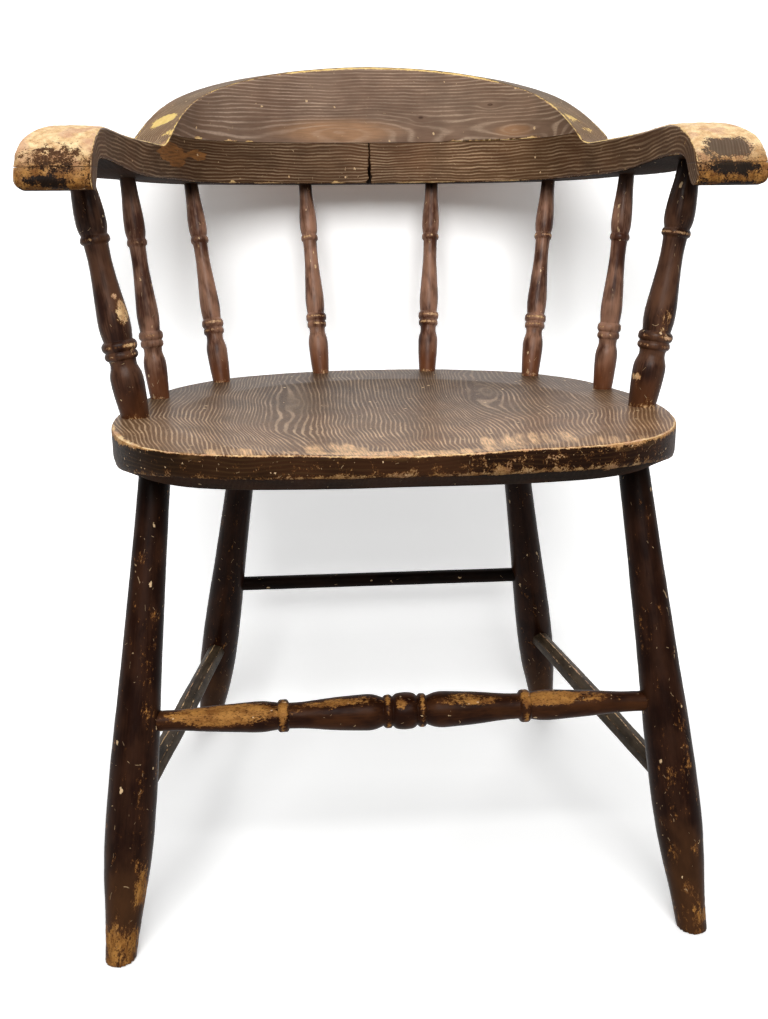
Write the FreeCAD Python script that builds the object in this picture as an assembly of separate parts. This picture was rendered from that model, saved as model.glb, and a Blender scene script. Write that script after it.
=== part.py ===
import FreeCAD, Part
import math
import os
from FreeCAD import Vector as V

os.makedirs("parts", exist_ok=True)

# Low-back armchair in turned and sawn wood. Millimetres, +X to the sitter's left as seen from
# the front, +Y to the back, +Z up, origin on the floor under the middle of the chair.

# seat plank
SEAT_TOP = 430.0
SEAT_THICK = 34.0
SEAT_EDGE_FRONT = 18.5
SEAT_EDGE_SIDE = 28.0
SEAT_EDGE_EASED_BY = 110.0
SEAT_BEVEL_FRONT = 30.0
SEAT_BEVEL_SIDE = 7.0
SEAT_FRONT = -263.8
SEAT_BACK = 190.0
SEAT_HALF = 243.0
DISH_DEPTH = 13.0
DISH_HALF_WIDTH = 195.0
DISH_HALF_LENGTH = 196.0
DISH_CENTRE_Y = -82.0
DISH_ROUND = 60.0

# legs, as foot and top positions of the axis of the leg on the right-hand side
FRONT_FOOT = (244.0, -242.0)
FRONT_TOP = (204.2, -130.8)
REAR_FOOT = (207.0, 182.0)
REAR_TOP = (137.6, 79.9)
LEG_TENON_R = 11.5
LEG_TENON_LONG = 24.0

# stretchers
FRONT_STRETCHER_Z = 189.0
SIDE_STRETCHER_Z = 116.0
REAR_STRETCHER_Z = 198.0
STRETCHER_END_R = 9.2
SIDE_STRETCHER_R = 9.8
REAR_STRETCHER_R = 8.0
STRETCHER_SOCKET_TO_AXIS = 3.0
FIT_GAP = 0.1

# arm rail: plan half-curves, heights and side profile
RAIL_BOTTOM = 633.5
RAIL_TOP_BACK = 676.0
ARM_LOW = 664.7
RAMP_FOOT_Y = 40.0
NOSE_FRONT = -182.0
NOSE_BOTTOM = 616.0
SCROLL_JOINT_Z = 633.5
RAIL_BACK_OUTER = 264.0
RAIL_BACK_INNER = 213.0
NOSE_OUTER_X = 287.0
NOSE_INNER_X = 228.0

# crest
CREST_TOP = 755.5

# arm posts and back spindles, base and top of each axis on the right-hand side
POST_BASE = (225.0, -87.0)
POST_TOP = (258.0, -81.0)
SPINDLE_BASES = [(60.0, 174.0), (166.0, 119.0), (217.5, 16.0)]
SPINDLE_TOPS = [(71.5, 233.0), (193.0, 177.0), (236.0, 30.0)]
SPINDLE_TENON_R = 6.0
SPINDLE_TENON_LONG = 20.0
POST_TENON_R = 9.0
POST_TENON_BOTTOM = 24.0
POST_TENON_TOP = 14.0
SEAT_BOTTOM = SEAT_TOP - SEAT_THICK


def mirrored(shape):
    return shape.mirror(V(0, 0, 0), V(1, 0, 0))


def smooth_edge(points):
    curve = Part.BSplineCurve()
    curve.interpolate([V(*p) for p in points])
    return curve.toShape()


def line_edge(a, b):
    return Part.makeLine(V(*a), V(*b))


def placed_on_axis(shape, start, end):
    axis = V(*end) - V(*start)
    turn = FreeCAD.Rotation(V(0, 0, 1), axis)
    out = shape.copy()
    out.Placement = FreeCAD.Placement(V(*start), turn)
    return out


def turned(segments):
    """Revolves a profile about Z. Each segment is a list of (height, radius): two points make a
    line, more make one smooth curve."""
    first = segments[0][0]
    last = segments[-1][-1]
    edges = [line_edge((0, 0, first[0]), (first[1], 0, first[0]))]
    for seg in segments:
        pts = [(r, 0, h) for h, r in seg]
        if len(pts) == 2:
            edges.append(line_edge(pts[0], pts[1]))
        else:
            edges.append(smooth_edge(pts))
    edges.append(line_edge((last[1], 0, last[0]), (0, 0, last[0])))
    edges.append(line_edge((0, 0, last[0]), (0, 0, first[0])))
    face = Part.Face(Part.Wire(edges))
    solid = face.revolve(V(0, 0, 0), V(0, 0, 1), 360)
    return solid


def cylinder_along(start, end, radius, before=0.0, after=0.0):
    a = V(*start)
    d = V(*end) - a
    long = d.Length
    d.normalize()
    base = a - d * before
    return Part.makeCylinder(radius, long + before + after, base, d)


def point_at(start, end, z):
    t = (z - start[2]) / (end[2] - start[2])
    return tuple(start[i] + (end[i] - start[i]) * t for i in range(3))


def slab(z0, z1):
    return Part.makeBox(900, 900, z1 - z0, V(-450, -450, z0))


# seat plank with its rounded plan, bevelled underside and saddled top
def seat_outline(inset_x, inset_y, z):
    right = [
        (0.0, SEAT_FRONT),
        (75.0, SEAT_FRONT + 1.0),
        (125.0, SEAT_FRONT + 6.5),
        (165.0, SEAT_FRONT + 18.0),
        (198.0, SEAT_FRONT + 42.0),
        (222.0, SEAT_FRONT + 78.0),
        (237.0, SEAT_FRONT + 124.0),
        (SEAT_HALF, -85.0),
        (240.0, -35.0),
        (230.5, 14.0),
        (213.0, 75.0),
        (187.0, 118.0),
        (160.0, 145.0),
        (118.0, 168.5),
        (68.0, 184.5),
        (0.0, SEAT_BACK),
    ]
    mid_y = (SEAT_FRONT + SEAT_BACK) / 2
    scale_x = (SEAT_HALF - inset_x) / SEAT_HALF
    half_y = (SEAT_BACK - SEAT_FRONT) / 2
    scale_y = (half_y - inset_y) / half_y
    ring = [(x * scale_x, mid_y + (y - mid_y) * scale_y) for x, y in right]
    ring = ring + [(-x, y) for x, y in reversed(ring[1:-1])]
    curve = Part.BSplineCurve()
    curve.interpolate([V(x, y, z(y)) for x, y in ring], PeriodicFlag=True)
    return Part.Wire([curve.toShape()])


# the sawn edge is narrow along the front, where the bevel is broad, and deeper round the sides
def edge_low(y):
    share = min(1.0, max(0.0, (y - SEAT_FRONT) / SEAT_EDGE_EASED_BY))
    share = share * share * (3 - 2 * share)
    return SEAT_TOP - SEAT_EDGE_FRONT - (SEAT_EDGE_SIDE - SEAT_EDGE_FRONT) * share


rim_top = seat_outline(0.0, 0.0, lambda y: SEAT_TOP)
rim_low = seat_outline(0.0, 0.0, edge_low)
rim_under = seat_outline(SEAT_BEVEL_SIDE, SEAT_BEVEL_FRONT, lambda y: SEAT_BOTTOM)
seat = Part.makeLoft([rim_top, rim_low, rim_under], True, True)
dish_share = math.sqrt(1 - (1 - DISH_DEPTH / DISH_ROUND) ** 2)
dish = Part.makeSphere(1.0)
stretch = FreeCAD.Matrix()
stretch.scale(DISH_HALF_WIDTH / dish_share, DISH_HALF_LENGTH / dish_share, DISH_ROUND)
dish = dish.transformGeometry(stretch)
dish.translate(V(0, DISH_CENTRE_Y, SEAT_TOP - DISH_DEPTH + DISH_ROUND))
seat = seat.cut(dish)

# legs: one turning pattern, stretched a little for the rear pair
LEG_RADII = [
    (0.0, 12.6),
    (12.0, 13.0),
    (36.0, 14.4),
    (60.0, 16.6),
    (84.0, 19.0),
    (108.0, 20.4),
    (136.0, 20.8),
    (164.0, 20.5),
    (200.0, 19.5),
    (250.0, 17.6),
    (300.0, 16.1),
    (350.0, 14.8),
    (430.0, 13.3),
]


def leg(foot, top):
    start = (foot[0], foot[1], 0.0)
    end = (top[0], top[1], SEAT_BOTTOM)
    profile = [(h - 14.0, r) for h, r in LEG_RADII]
    body = placed_on_axis(turned([profile]), start, end)
    body = body.common(slab(0.0, SEAT_BOTTOM))
    tenon = cylinder_along(end, end_beyond(start, end, LEG_TENON_LONG), LEG_TENON_R, before=20.0)
    return body.fuse(tenon)


def end_beyond(start, end, extra):
    d = V(*end) - V(*start)
    d.normalize()
    p = V(*end) + d * extra
    return (p.x, p.y, p.z)


def leg_axis_point(foot, top, z, side=1):
    p = point_at((foot[0], foot[1], 0.0), (top[0], top[1], SEAT_BOTTOM), z)
    return (side * p[0], p[1], p[2])


def leg_hole(foot, top):
    start = (foot[0], foot[1], 0.0)
    end = (top[0], top[1], SEAT_BOTTOM)
    return cylinder_along(end, end_beyond(start, end, LEG_TENON_LONG), LEG_TENON_R + FIT_GAP, before=20.0)


leg_front = leg(FRONT_FOOT, FRONT_TOP)
leg_rear = leg(REAR_FOOT, REAR_TOP)


# stretchers, each as long as the sockets in the two legs let it be
def trimmed(a, b, cut):
    d = V(*b) - V(*a)
    d.normalize()
    p = V(*a) + d * cut
    q = V(*b) - d * cut
    return (p.x, p.y, p.z), (q.x, q.y, q.z)


front_a = leg_axis_point(FRONT_FOOT, FRONT_TOP, FRONT_STRETCHER_Z, -1)
front_b = leg_axis_point(FRONT_FOOT, FRONT_TOP, FRONT_STRETCHER_Z, 1)
front_a, front_b = trimmed(front_a, front_b, STRETCHER_SOCKET_TO_AXIS)
half = (V(*front_b) - V(*front_a)).Length / 2


def front_half_profile(sign):
    pts = [
        [(half, STRETCHER_END_R), (half - 36, STRETCHER_END_R), (165.0, 10.8), (134.0, 12.7), (120.0, 13.1),
         (108.0, 11.6)],
        [(108.0, 11.6), (106.5, 13.6), (103.0, 14.2), (99.5, 13.6), (98.0, 11.0)],
        [(98.0, 11.0), (88.0, 11.3), (62.0, 13.8), (38.0, 15.3), (26.0, 14.9), (18.5, 12.2)],
        [(18.5, 12.2), (17.0, 14.0), (14.5, 14.6), (12.0, 14.0), (10.5, 12.4)],
        [(10.5, 12.4), (8.0, 14.6), (4.0, 15.6), (0.0, 15.9)],
    ]
    if sign < 0:
        return [[(half - x, r) for x, r in seg] for seg in pts]
    return [[(half + x, r) for x, r in reversed(seg)] for seg in reversed(pts)]


stretcher_front = placed_on_axis(turned(front_half_profile(-1) + front_half_profile(1)), front_a, front_b)
rear_a = leg_axis_point(REAR_FOOT, REAR_TOP, REAR_STRETCHER_Z, -1)
rear_b = leg_axis_point(REAR_FOOT, REAR_TOP, REAR_STRETCHER_Z, 1)
rear_a, rear_b = trimmed(rear_a, rear_b, STRETCHER_SOCKET_TO_AXIS)
stretcher_rear = cylinder_along(rear_a, rear_b, REAR_STRETCHER_R)
side_a = leg_axis_point(FRONT_FOOT, FRONT_TOP, SIDE_STRETCHER_Z)
side_b = leg_axis_point(REAR_FOOT, REAR_TOP, SIDE_STRETCHER_Z)
side_a, side_b = trimmed(side_a, side_b, STRETCHER_SOCKET_TO_AXIS)
side_long = (V(*side_b) - V(*side_a)).Length
side_profile = [(0.0, STRETCHER_END_R), (40.0, STRETCHER_END_R + 0.1)]
side_profile = side_profile + [(side_long / 2, SIDE_STRETCHER_R + 0.6)]
side_profile = side_profile + [(side_long - 40.0, SIDE_STRETCHER_R), (side_long, SIDE_STRETCHER_R)]
stretcher_side = placed_on_axis(turned([side_profile]), side_a, side_b)

# sockets in the legs
leg_front = leg_front.cut(cylinder_along(front_a, front_b, STRETCHER_END_R + FIT_GAP))
leg_front = leg_front.cut(cylinder_along(side_a, side_b, STRETCHER_END_R + 2 * FIT_GAP))
leg_rear = leg_rear.cut(cylinder_along(side_a, side_b, SIDE_STRETCHER_R + FIT_GAP))
leg_rear = leg_rear.cut(cylinder_along(rear_a, rear_b, REAR_STRETCHER_R + FIT_GAP))

# the bow: a plan band cut by a side profile, split at the centre of the back
INNER = [
    (0.0, RAIL_BACK_INNER),
    (68.0, 208.0),
    (132.0, 188.5),
    (173.0, 160.0),
    (197.0, 98.0),
    (210.0, 28.0),
    (222.5, -45.0),
    (NOSE_INNER_X, -110.0),
    (NOSE_INNER_X + 0.5, NOSE_FRONT - 8.0),
]
OUTER = [
    (0.0, RAIL_BACK_OUTER),
    (74.0, 259.0),
    (148.0, 236.0),
    (208.5, 196.0),
    (244.0, 119.0),
    (262.5, 33.0),
    (279.0, -42.0),
    (NOSE_OUTER_X - 0.5, -110.0),
    (NOSE_OUTER_X, NOSE_FRONT - 8.0),
]


def band(z0, z1):
    inner = smooth_plan(INNER, z0)
    outer = smooth_plan(OUTER, z0)
    close_back = line_edge((INNER[0][0], INNER[0][1], z0), (OUTER[0][0], OUTER[0][1], z0))
    close_nose = line_edge((INNER[-1][0], INNER[-1][1], z0), (OUTER[-1][0], OUTER[-1][1], z0))
    wire = Part.Wire(Part.__sortEdges__([inner, close_nose, outer, close_back]))
    return Part.Face(wire).extrude(V(0, 0, z1 - z0))


def smooth_plan(points, z):
    pts = [V(x, y, z) for x, y in points]
    curve = Part.BSplineCurve()
    curve.interpolate(pts, InitialTangent=V(1, 0, 0), FinalTangent=V(0, -1, 0))
    return curve.toShape()


# the side profile steps down where the ramp under the crest's end has run out
arm_top_line = [
    (280.0, RAIL_TOP_BACK),
    (RAMP_FOOT_Y, RAIL_TOP_BACK),
]
arm_step = [
    (RAMP_FOOT_Y, RAIL_TOP_BACK),
    (RAMP_FOOT_Y, ARM_LOW),
]
arm_dip = [
    (RAMP_FOOT_Y, ARM_LOW),
    (0.0, ARM_LOW + 0.3),
    (-52.0, 666.0),
    (-100.0, 667.5),
    (-128.0, 665.5),
    (-148.0, 659.0),
    (-166.0, 648.0),
    (-176.0, 637.0),
    (NOSE_FRONT, 623.0),
]
nose_under = [
    (NOSE_FRONT, 623.0),
    (-180.0, 618.0),
    (-173.0, NOSE_BOTTOM),
    (-166.0, 619.0),
    (-158.0, 628.0),
    (-151.0, 636.5),
    (-140.0, 640.5),
    (-122.0, 641.5),
]
under_rise = [
    (-122.0, 641.5),
    (-85.0, 640.5),
    (-35.0, 636.0),
    (5.0, RAIL_BOTTOM),
]
loop = []
for run in (arm_top_line, arm_step, arm_dip, nose_under, under_rise):
    pts3 = [(0.0, y, z) for y, z in run]
    if len(run) == 2:
        loop.append(line_edge(pts3[0], pts3[1]))
    else:
        loop.append(smooth_edge(pts3))
loop.append(line_edge((0, 5.0, RAIL_BOTTOM), (0, 280.0, RAIL_BOTTOM)))
loop.append(line_edge((0, 280.0, RAIL_BOTTOM), (0, 280.0, RAIL_TOP_BACK)))
side_cut = Part.Face(Part.Wire(loop)).extrude(V(320, 0, 0))
arm_whole = band(600.0, 700.0).common(side_cut)

# under the ends of the crest the arm carries its slope on down, along the diagonal
ramp_run = [
    (-114.0, RAIL_TOP_BACK),
    (-120.0, 672.7),
    (-128.0, 669.0),
    (-138.0, 666.0),
    (-152.0, ARM_LOW),
    (-360.0, ARM_LOW),
]
ROOT2 = math.sqrt(2.0)


def on_the_diagonal(edges):
    body = Part.Face(Part.Wire(edges)).extrude(V(1000, 0, 0))
    body.translate(V(-500, 0, 0))
    body.rotate(V(0, 0, 0), V(0, 0, 1), 45)
    return body


ramp_pts = [(0.0, q / ROOT2, z) for q, z in ramp_run]
ramp_edges = [smooth_edge(ramp_pts[:-1]), line_edge(ramp_pts[-2], ramp_pts[-1])]
ramp_edges.append(line_edge(ramp_pts[-1], (0.0, ramp_pts[-1][1], 720.0)))
ramp_edges.append(line_edge((0.0, ramp_pts[-1][1], 720.0), (0.0, ramp_pts[0][1], 720.0)))
ramp_edges.append(line_edge((0.0, ramp_pts[0][1], 720.0), ramp_pts[0]))
ramp_tool = on_the_diagonal(ramp_edges).common(Part.makeBox(600, 400, 200, V(0, RAMP_FOOT_Y, 600)))
arm_whole = arm_whole.cut(ramp_tool)

# the outer top corner of the arm is rounded off, most at the rolled end and fading to the back
CORNER_R = 24.0
cx = NOSE_OUTER_X - CORNER_R
cz = 667.5 - CORNER_R
corner_edges = [
    line_edge((cx + CORNER_R, -200, cz), (cx + 70, -200, cz)),
    line_edge((cx + 70, -200, cz), (cx + 70, -200, cz + 70)),
    line_edge((cx + 70, -200, cz + 70), (cx, -200, cz + 70)),
    line_edge((cx, -200, cz + 70), (cx, -200, cz + CORNER_R)),
]
bow_mid = V(cx + CORNER_R / math.sqrt(2.0), -200, cz + CORNER_R / math.sqrt(2.0))
corner_edges.append(Part.Arc(V(cx, -200, cz + CORNER_R), bow_mid, V(cx + CORNER_R, -200, cz)).toShape())
corner_tool = Part.Face(Part.Wire(corner_edges)).extrude(V(-14.0, 240.0, 5.5))
arm_whole = arm_whole.cut(corner_tool)

# the rolled end is built up: a separate block is glued under the tip of the arm
block_box = Part.makeBox(120, 60, SCROLL_JOINT_Z - 600, V(200, -200, 600))
scroll = arm_whole.common(block_box)
arm = arm_whole.cut(block_box)

# crest: the same plan band, its top a level line that falls away on the diagonal at both ends
crest_run = [
    (280.0, CREST_TOP),
    (235.0, CREST_TOP - 0.3),
    (180.0, CREST_TOP - 2.0),
    (118.0, CREST_TOP - 7.5),
    (40.0, CREST_TOP - 21.5),
    (-26.0, CREST_TOP - 40.0),
    (-75.0, CREST_TOP - 60.0),
    (-102.0, CREST_TOP - 73.0),
    (-114.0, RAIL_TOP_BACK),
]


def crest_cutter():
    pts = [(0.0, q / ROOT2, z) for q, z in crest_run]
    edges = [smooth_edge(pts)]
    low = (0.0, pts[-1][1], RAIL_TOP_BACK - 1.0)
    far = (0.0, pts[0][1], RAIL_TOP_BACK - 1.0)
    edges.append(line_edge(pts[-1], low))
    edges.append(line_edge(low, far))
    edges.append(line_edge(far, pts[0]))
    return on_the_diagonal(edges)


crest_right = band(RAIL_TOP_BACK, CREST_TOP + 5).common(crest_cutter())
crest = crest_right.fuse(mirrored(crest_right)).removeSplitter()


# turned uprights: (share of the length, radius) from the seat up, cut to the seat and the bow
def upright_segments(long, k):
    run = []
    bulb = [(0.0, 9.2), (0.05, 10.0), (0.135, 10.9), (0.185, 10.2), (0.213, 8.8), (0.235, 9.0)]
    ring_low = [(0.235, 9.0), (0.243, 10.6), (0.254, 11.0), (0.265, 10.5), (0.27, 9.9)]
    ring_high = [(0.27, 9.9), (0.278, 11.2), (0.292, 11.7), (0.306, 11.0), (0.314, 9.5)]
    swell = [(0.314, 9.5), (0.33, 9.9), (0.375, 10.5), (0.44, 9.9), (0.54, 8.4), (0.64, 7.6), (0.695, 7.9)]
    ring_top = [(0.695, 7.9), (0.702, 9.2), (0.713, 9.7), (0.724, 9.2), (0.731, 8.4)]
    head = [(0.731, 8.4), (0.75, 9.3), (0.79, 9.8), (0.84, 9.4), (0.92, 8.0), (1.0, 7.4)]
    for seg in (bulb, ring_low, ring_high, swell, ring_top, head):
        run.append([(s * long, r * k) for s, r in seg])
    return run


def upright(base, top, z_top, k, spare=0.0):
    start = (base[0], base[1], SEAT_TOP)
    end = (top[0], top[1], z_top)
    axis = V(*end) - V(*start)
    long = axis.Length
    axis.normalize()
    segs = upright_segments(long, k)
    segs[0].insert(0, (-6.0, 9.2 * k - 0.6))
    segs[-1].append((long + 6.0 + spare, 7.3 * k))
    body = placed_on_axis(turned(segs), start, end)
    body = body.common(slab(SEAT_TOP, 700.0))
    return body


def spindle(base, top):
    body = upright(base, top, RAIL_BOTTOM, 1.0)
    body = body.common(slab(SEAT_TOP, RAIL_BOTTOM))
    rod = cylinder_along((base[0], base[1], SEAT_TOP), (top[0], top[1], RAIL_BOTTOM), SPINDLE_TENON_R,
                         before=SPINDLE_TENON_LONG, after=SPINDLE_TENON_LONG)
    return body.fuse(rod)


def spindle_hole(base, top):
    return cylinder_along((base[0], base[1], SEAT_TOP), (top[0], top[1], RAIL_BOTTOM),
                          SPINDLE_TENON_R + FIT_GAP, before=SPINDLE_TENON_LONG, after=SPINDLE_TENON_LONG)


POST_TOP_Z = 640.0
post_ends = ((POST_BASE[0], POST_BASE[1], SEAT_TOP), (POST_TOP[0], POST_TOP[1], POST_TOP_Z))
post_rod = cylinder_along(post_ends[0], post_ends[1], POST_TENON_R,
                          before=POST_TENON_BOTTOM, after=POST_TENON_TOP)
post_hole = cylinder_along(post_ends[0], post_ends[1], POST_TENON_R + FIT_GAP,
                           before=POST_TENON_BOTTOM, after=POST_TENON_TOP)
post_body = upright(POST_BASE, POST_TOP, POST_TOP_Z, 1.32, spare=6.0).cut(arm)
post_pieces = sorted(post_body.Solids, key=lambda s: s.Volume)
post = post_pieces[-1].fuse(post_rod)

arm = arm.cut(post_hole)
seat = seat.cut(post_hole).cut(mirrored(post_hole))
spindles = []
for base, top in zip(SPINDLE_BASES, SPINDLE_TOPS):
    spindles.append(spindle(base, top))
    hole = spindle_hole(base, top)
    arm = arm.cut(hole)
    seat = seat.cut(hole).cut(mirrored(hole))
for foot, top in ((FRONT_FOOT, FRONT_TOP), (REAR_FOOT, REAR_TOP)):
    hole = leg_hole(foot, top)
    seat = seat.cut(hole).cut(mirrored(hole))

nodes = {
    "seat": seat,
    "leg_front_right": leg_front,
    "leg_front_left": mirrored(leg_front),
    "leg_rear_right": leg_rear,
    "leg_rear_left": mirrored(leg_rear),
    "stretcher_front": stretcher_front,
    "stretcher_rear": stretcher_rear,
    "stretcher_right": stretcher_side,
    "stretcher_left": mirrored(stretcher_side),
    "arm_post_right": post,
    "arm_post_left": mirrored(post),
    "spindle_inner_right": spindles[0],
    "spindle_inner_left": mirrored(spindles[0]),
    "spindle_middle_right": spindles[1],
    "spindle_middle_left": mirrored(spindles[1]),
    "spindle_outer_right": spindles[2],
    "spindle_outer_left": mirrored(spindles[2]),
    "arm_rail_right": arm,
    "arm_rail_left": mirrored(arm),
    "arm_scroll_block_right": scroll,
    "arm_scroll_block_left": mirrored(scroll),
    "crest": crest,
}
for name, shape in nodes.items():
    solids = shape.Solids
    print(name, len(solids), round(shape.Volume / 1000, 1), shape.isValid())
    out = solids[0] if len(solids) == 1 else shape
    out.exportStep("parts/" + name + ".step")
total = Part.makeCompound(list(nodes.values())).optimalBoundingBox(False, False)
print(total)
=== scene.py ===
import math

import bmesh
import bpy
import numpy as np
from mathutils import Matrix, Vector, noise

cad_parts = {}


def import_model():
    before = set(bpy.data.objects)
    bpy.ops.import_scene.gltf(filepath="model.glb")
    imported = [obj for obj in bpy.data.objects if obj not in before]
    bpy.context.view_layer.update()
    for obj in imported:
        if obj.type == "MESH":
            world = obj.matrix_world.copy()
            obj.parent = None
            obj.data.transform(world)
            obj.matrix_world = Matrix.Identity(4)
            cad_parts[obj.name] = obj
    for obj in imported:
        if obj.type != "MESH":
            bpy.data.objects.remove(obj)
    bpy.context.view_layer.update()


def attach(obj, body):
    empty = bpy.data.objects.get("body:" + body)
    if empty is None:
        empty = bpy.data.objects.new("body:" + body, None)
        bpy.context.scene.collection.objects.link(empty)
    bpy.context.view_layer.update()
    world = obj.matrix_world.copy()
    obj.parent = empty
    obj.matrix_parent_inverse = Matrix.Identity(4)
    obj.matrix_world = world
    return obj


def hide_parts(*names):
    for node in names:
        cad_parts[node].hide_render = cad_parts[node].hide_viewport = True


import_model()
MM = 0.001

# the chair's main sizes in millimetres, as in the construction model
SEAT_TOP = 430.0
SEAT_BOTTOM = 396.0
SEAT_FRONT = -263.8
SEAT_BACK = 190.0
SEAT_HALF = 243.0
SEAT_EDGE_FRONT = 18.5
SEAT_EDGE_SIDE = 28.0
SEAT_EDGE_EASED_BY = 110.0
SEAT_BEVEL_SIDE = 7.0
SEAT_BEVEL_FRONT = 30.0
RAIL_BOTTOM = 633.5
RAIL_TOP = 676.0
ARM_LOW = 664.7
RAMP_FOOT_Y = 40.0
CREST_TOP = 755.3
SCROLL_JOINT = 633.2
POST_TOP_Z = 640.0
FRONT_LEG = ((244.0, -242.0, 0.0), (204.2, -130.8, SEAT_BOTTOM))
REAR_LEG = ((207.0, 182.0, 0.0), (137.6, 79.9, SEAT_BOTTOM))
FRONT_STRETCHER_Z = 189.0
REAR_STRETCHER_Z = 198.0
SIDE_STRETCHER_Z = 116.0
STRETCHER_CLEAR = 3.0  # a stretcher's end stays this far short of the axis of its leg


def tone(red, green, blue):
    """A screen colour of 0 to 255 as the shader wants it."""
    def linear(level):
        c = level / 255
        return c / 12.92 if c <= 0.04045 else ((c + 0.055) / 1.055) ** 2.4
    return (linear(red), linear(green), linear(blue), 1.0)


# node trees
class Wiring:
    """Short calls for the steps of a shader's node tree."""

    def __init__(self, tree):
        self.tree = tree

    def feed(self, socket, value):
        if isinstance(value, bpy.types.NodeSocket):
            self.tree.links.new(value, socket)
        else:
            socket.default_value = value

    def node(self, kind, feeds=None, **settings):
        made = self.tree.nodes.new(kind)
        for key, value in settings.items():
            setattr(made, key, value)
        for key, value in (feeds or {}).items():
            self.feed(made.inputs[key], value)
        return made

    def math(self, op, a, b=0.0):
        return self.node("ShaderNodeMath", {0: a, 1: b}, operation=op).outputs[0]

    def add(self, a, b):
        return self.math("ADD", a, b)

    def less(self, a, b):
        return self.math("SUBTRACT", a, b)

    def times(self, a, b):
        return self.math("MULTIPLY", a, b)

    def over(self, a, b):
        return self.math("DIVIDE", a, b)

    def vectors(self, op, a, b):
        return self.node("ShaderNodeVectorMath", {0: a, 1: b}, operation=op).outputs[0]

    def grown(self, vector, scale):
        return self.node("ShaderNodeVectorMath", {0: vector, "Scale": scale}, operation="SCALE").outputs[0]

    def scaled(self, vector, sizes):
        """A place divided by the size of a pattern, in millimetres, one for each axis."""
        return self.vectors("MULTIPLY", vector, (1 / sizes[0], 1 / sizes[1], 1 / sizes[2]))

    def cells(self, place, size):
        """A place divided by one size for all three axes, which may come from a socket."""
        return self.vectors("DIVIDE", place, self.xyz(size, size, size))

    def xyz(self, x, y, z):
        return self.node("ShaderNodeCombineXYZ", {0: x, 1: y, 2: z}).outputs[0]

    def parts(self, vector):
        return self.node("ShaderNodeSeparateXYZ", {0: vector}).outputs

    def mark(self, name, output="Fac"):
        """A value or a place kept on the points of the mesh."""
        return self.node("ShaderNodeAttribute", attribute_name=name).outputs[output]

    def lit(self, level, colour):
        """A colour made lighter or darker."""
        return self.node("ShaderNodeHueSaturation", {"Value": level, "Color": colour}).outputs[0]

    def step(self, value, low, high, at_low=0.0, at_high=1.0):
        """An eased step from one level to another between two values."""
        feeds = {0: value, 1: low, 2: high, 3: at_low, 4: at_high}
        return self.node("ShaderNodeMapRange", feeds, interpolation_type="SMOOTHSTEP").outputs[0]

    def noise(self, place, detail=2.0, rough=0.5):
        feeds = {"Vector": place, "Scale": 1.0, "Detail": detail, "Roughness": rough}
        return self.node("ShaderNodeTexNoise", feeds).outputs["Fac"]

    def grain(self, place, sizes, detail, rough=0.5):
        """A noise with a size of its own along each axis, in millimetres."""
        return self.noise(self.scaled(place, sizes), detail, rough)

    def patches(self, place, sizes, detail, *levels):
        """Soft patches of that size, eased as in step."""
        return self.step(self.grain(place, sizes, detail), *levels)

    def swing(self, value, reach):
        """A noise of 0 to 1 turned into one that swings to both sides of zero."""
        return self.times(self.add(value, -0.5), reach)

    def blend(self, share, a, b):
        return self.node("ShaderNodeMix", {0: share, 6: a, 7: b}, data_type="RGBA").outputs[2]

    def use(self, tree, feeds):
        made = self.tree.nodes.new("ShaderNodeGroup")
        made.node_tree = tree
        for key, value in feeds.items():
            self.feed(made.inputs[key], value)
        return made.outputs


def effect(name, numbers, outputs, place=False):
    """An empty node group. numbers are its number inputs with their usual values."""
    tree = bpy.data.node_groups.new(name, "ShaderNodeTree")
    if place:
        tree.interface.new_socket("Place", in_out="INPUT", socket_type="NodeSocketVector")
    for label, value in numbers.items():
        socket = tree.interface.new_socket(label, in_out="INPUT", socket_type="NodeSocketFloat")
        socket.default_value = value
    for label in outputs:
        kind = "NodeSocketColor" if label == "Colour" else "NodeSocketFloat"
        tree.interface.new_socket(label, in_out="OUTPUT", socket_type=kind)
    w = Wiring(tree)
    return tree, w, w.node("NodeGroupInput").outputs, w.node("NodeGroupOutput").inputs


def comb_lines():
    """Wavering lines left by a comb drawn through wet glaze. Lengths are in millimetres, and the
    numbers that along and across are multiplied by say how fast a pattern changes over them."""
    tree, w, given, done = effect(
        "comb lines",
        {"Along": 0.0, "Across": 0.0, "Shift": 0.0, "Spacing": 4.0, "Sway": 8.0, "Wiggle": 1.2,
         "Width": 0.4, "Softness": 0.3, "Seed": 0.0},
        ["Lines"])
    along, across, seed = given["Along"], given["Across"], given["Seed"]

    def pattern(per_along, other, per_other, number, detail=1.0):
        return w.noise(w.xyz(w.times(along, per_along), w.times(other, per_other), number), detail)

    slow = pattern(0.011, across, 0.02, seed)
    quick = pattern(0.06, across, 0.07, w.add(seed, 9.0))
    bent = w.add(w.add(across, w.swing(slow, given["Sway"])), w.swing(quick, given["Wiggle"]))
    count = w.add(w.over(bent, given["Spacing"]), given["Shift"])
    which = w.math("FLOOR", count)
    part = w.math("FRACT", count)
    rise = w.less(1.0, w.math("ABSOLUTE", w.less(w.times(part, 2.0), 1.0)))
    swell = pattern(0.035, which, 1.7, w.add(seed, 3.0))
    edge = w.less(1.0, w.times(given["Width"], w.add(swell, 0.5)))
    tooth = w.step(rise, w.less(edge, given["Softness"]), w.add(edge, given["Softness"]))
    bold = w.step(pattern(0.02, which, 0.73, seed), 0.3, 0.62, 0.35, 1.0)
    grit = w.step(pattern(0.35, across, 1.1, seed, 2.0), 0.25, 0.6, 0.55, 1.0)
    w.feed(done["Lines"], w.times(w.times(tooth, bold), grit))
    return tree


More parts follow.
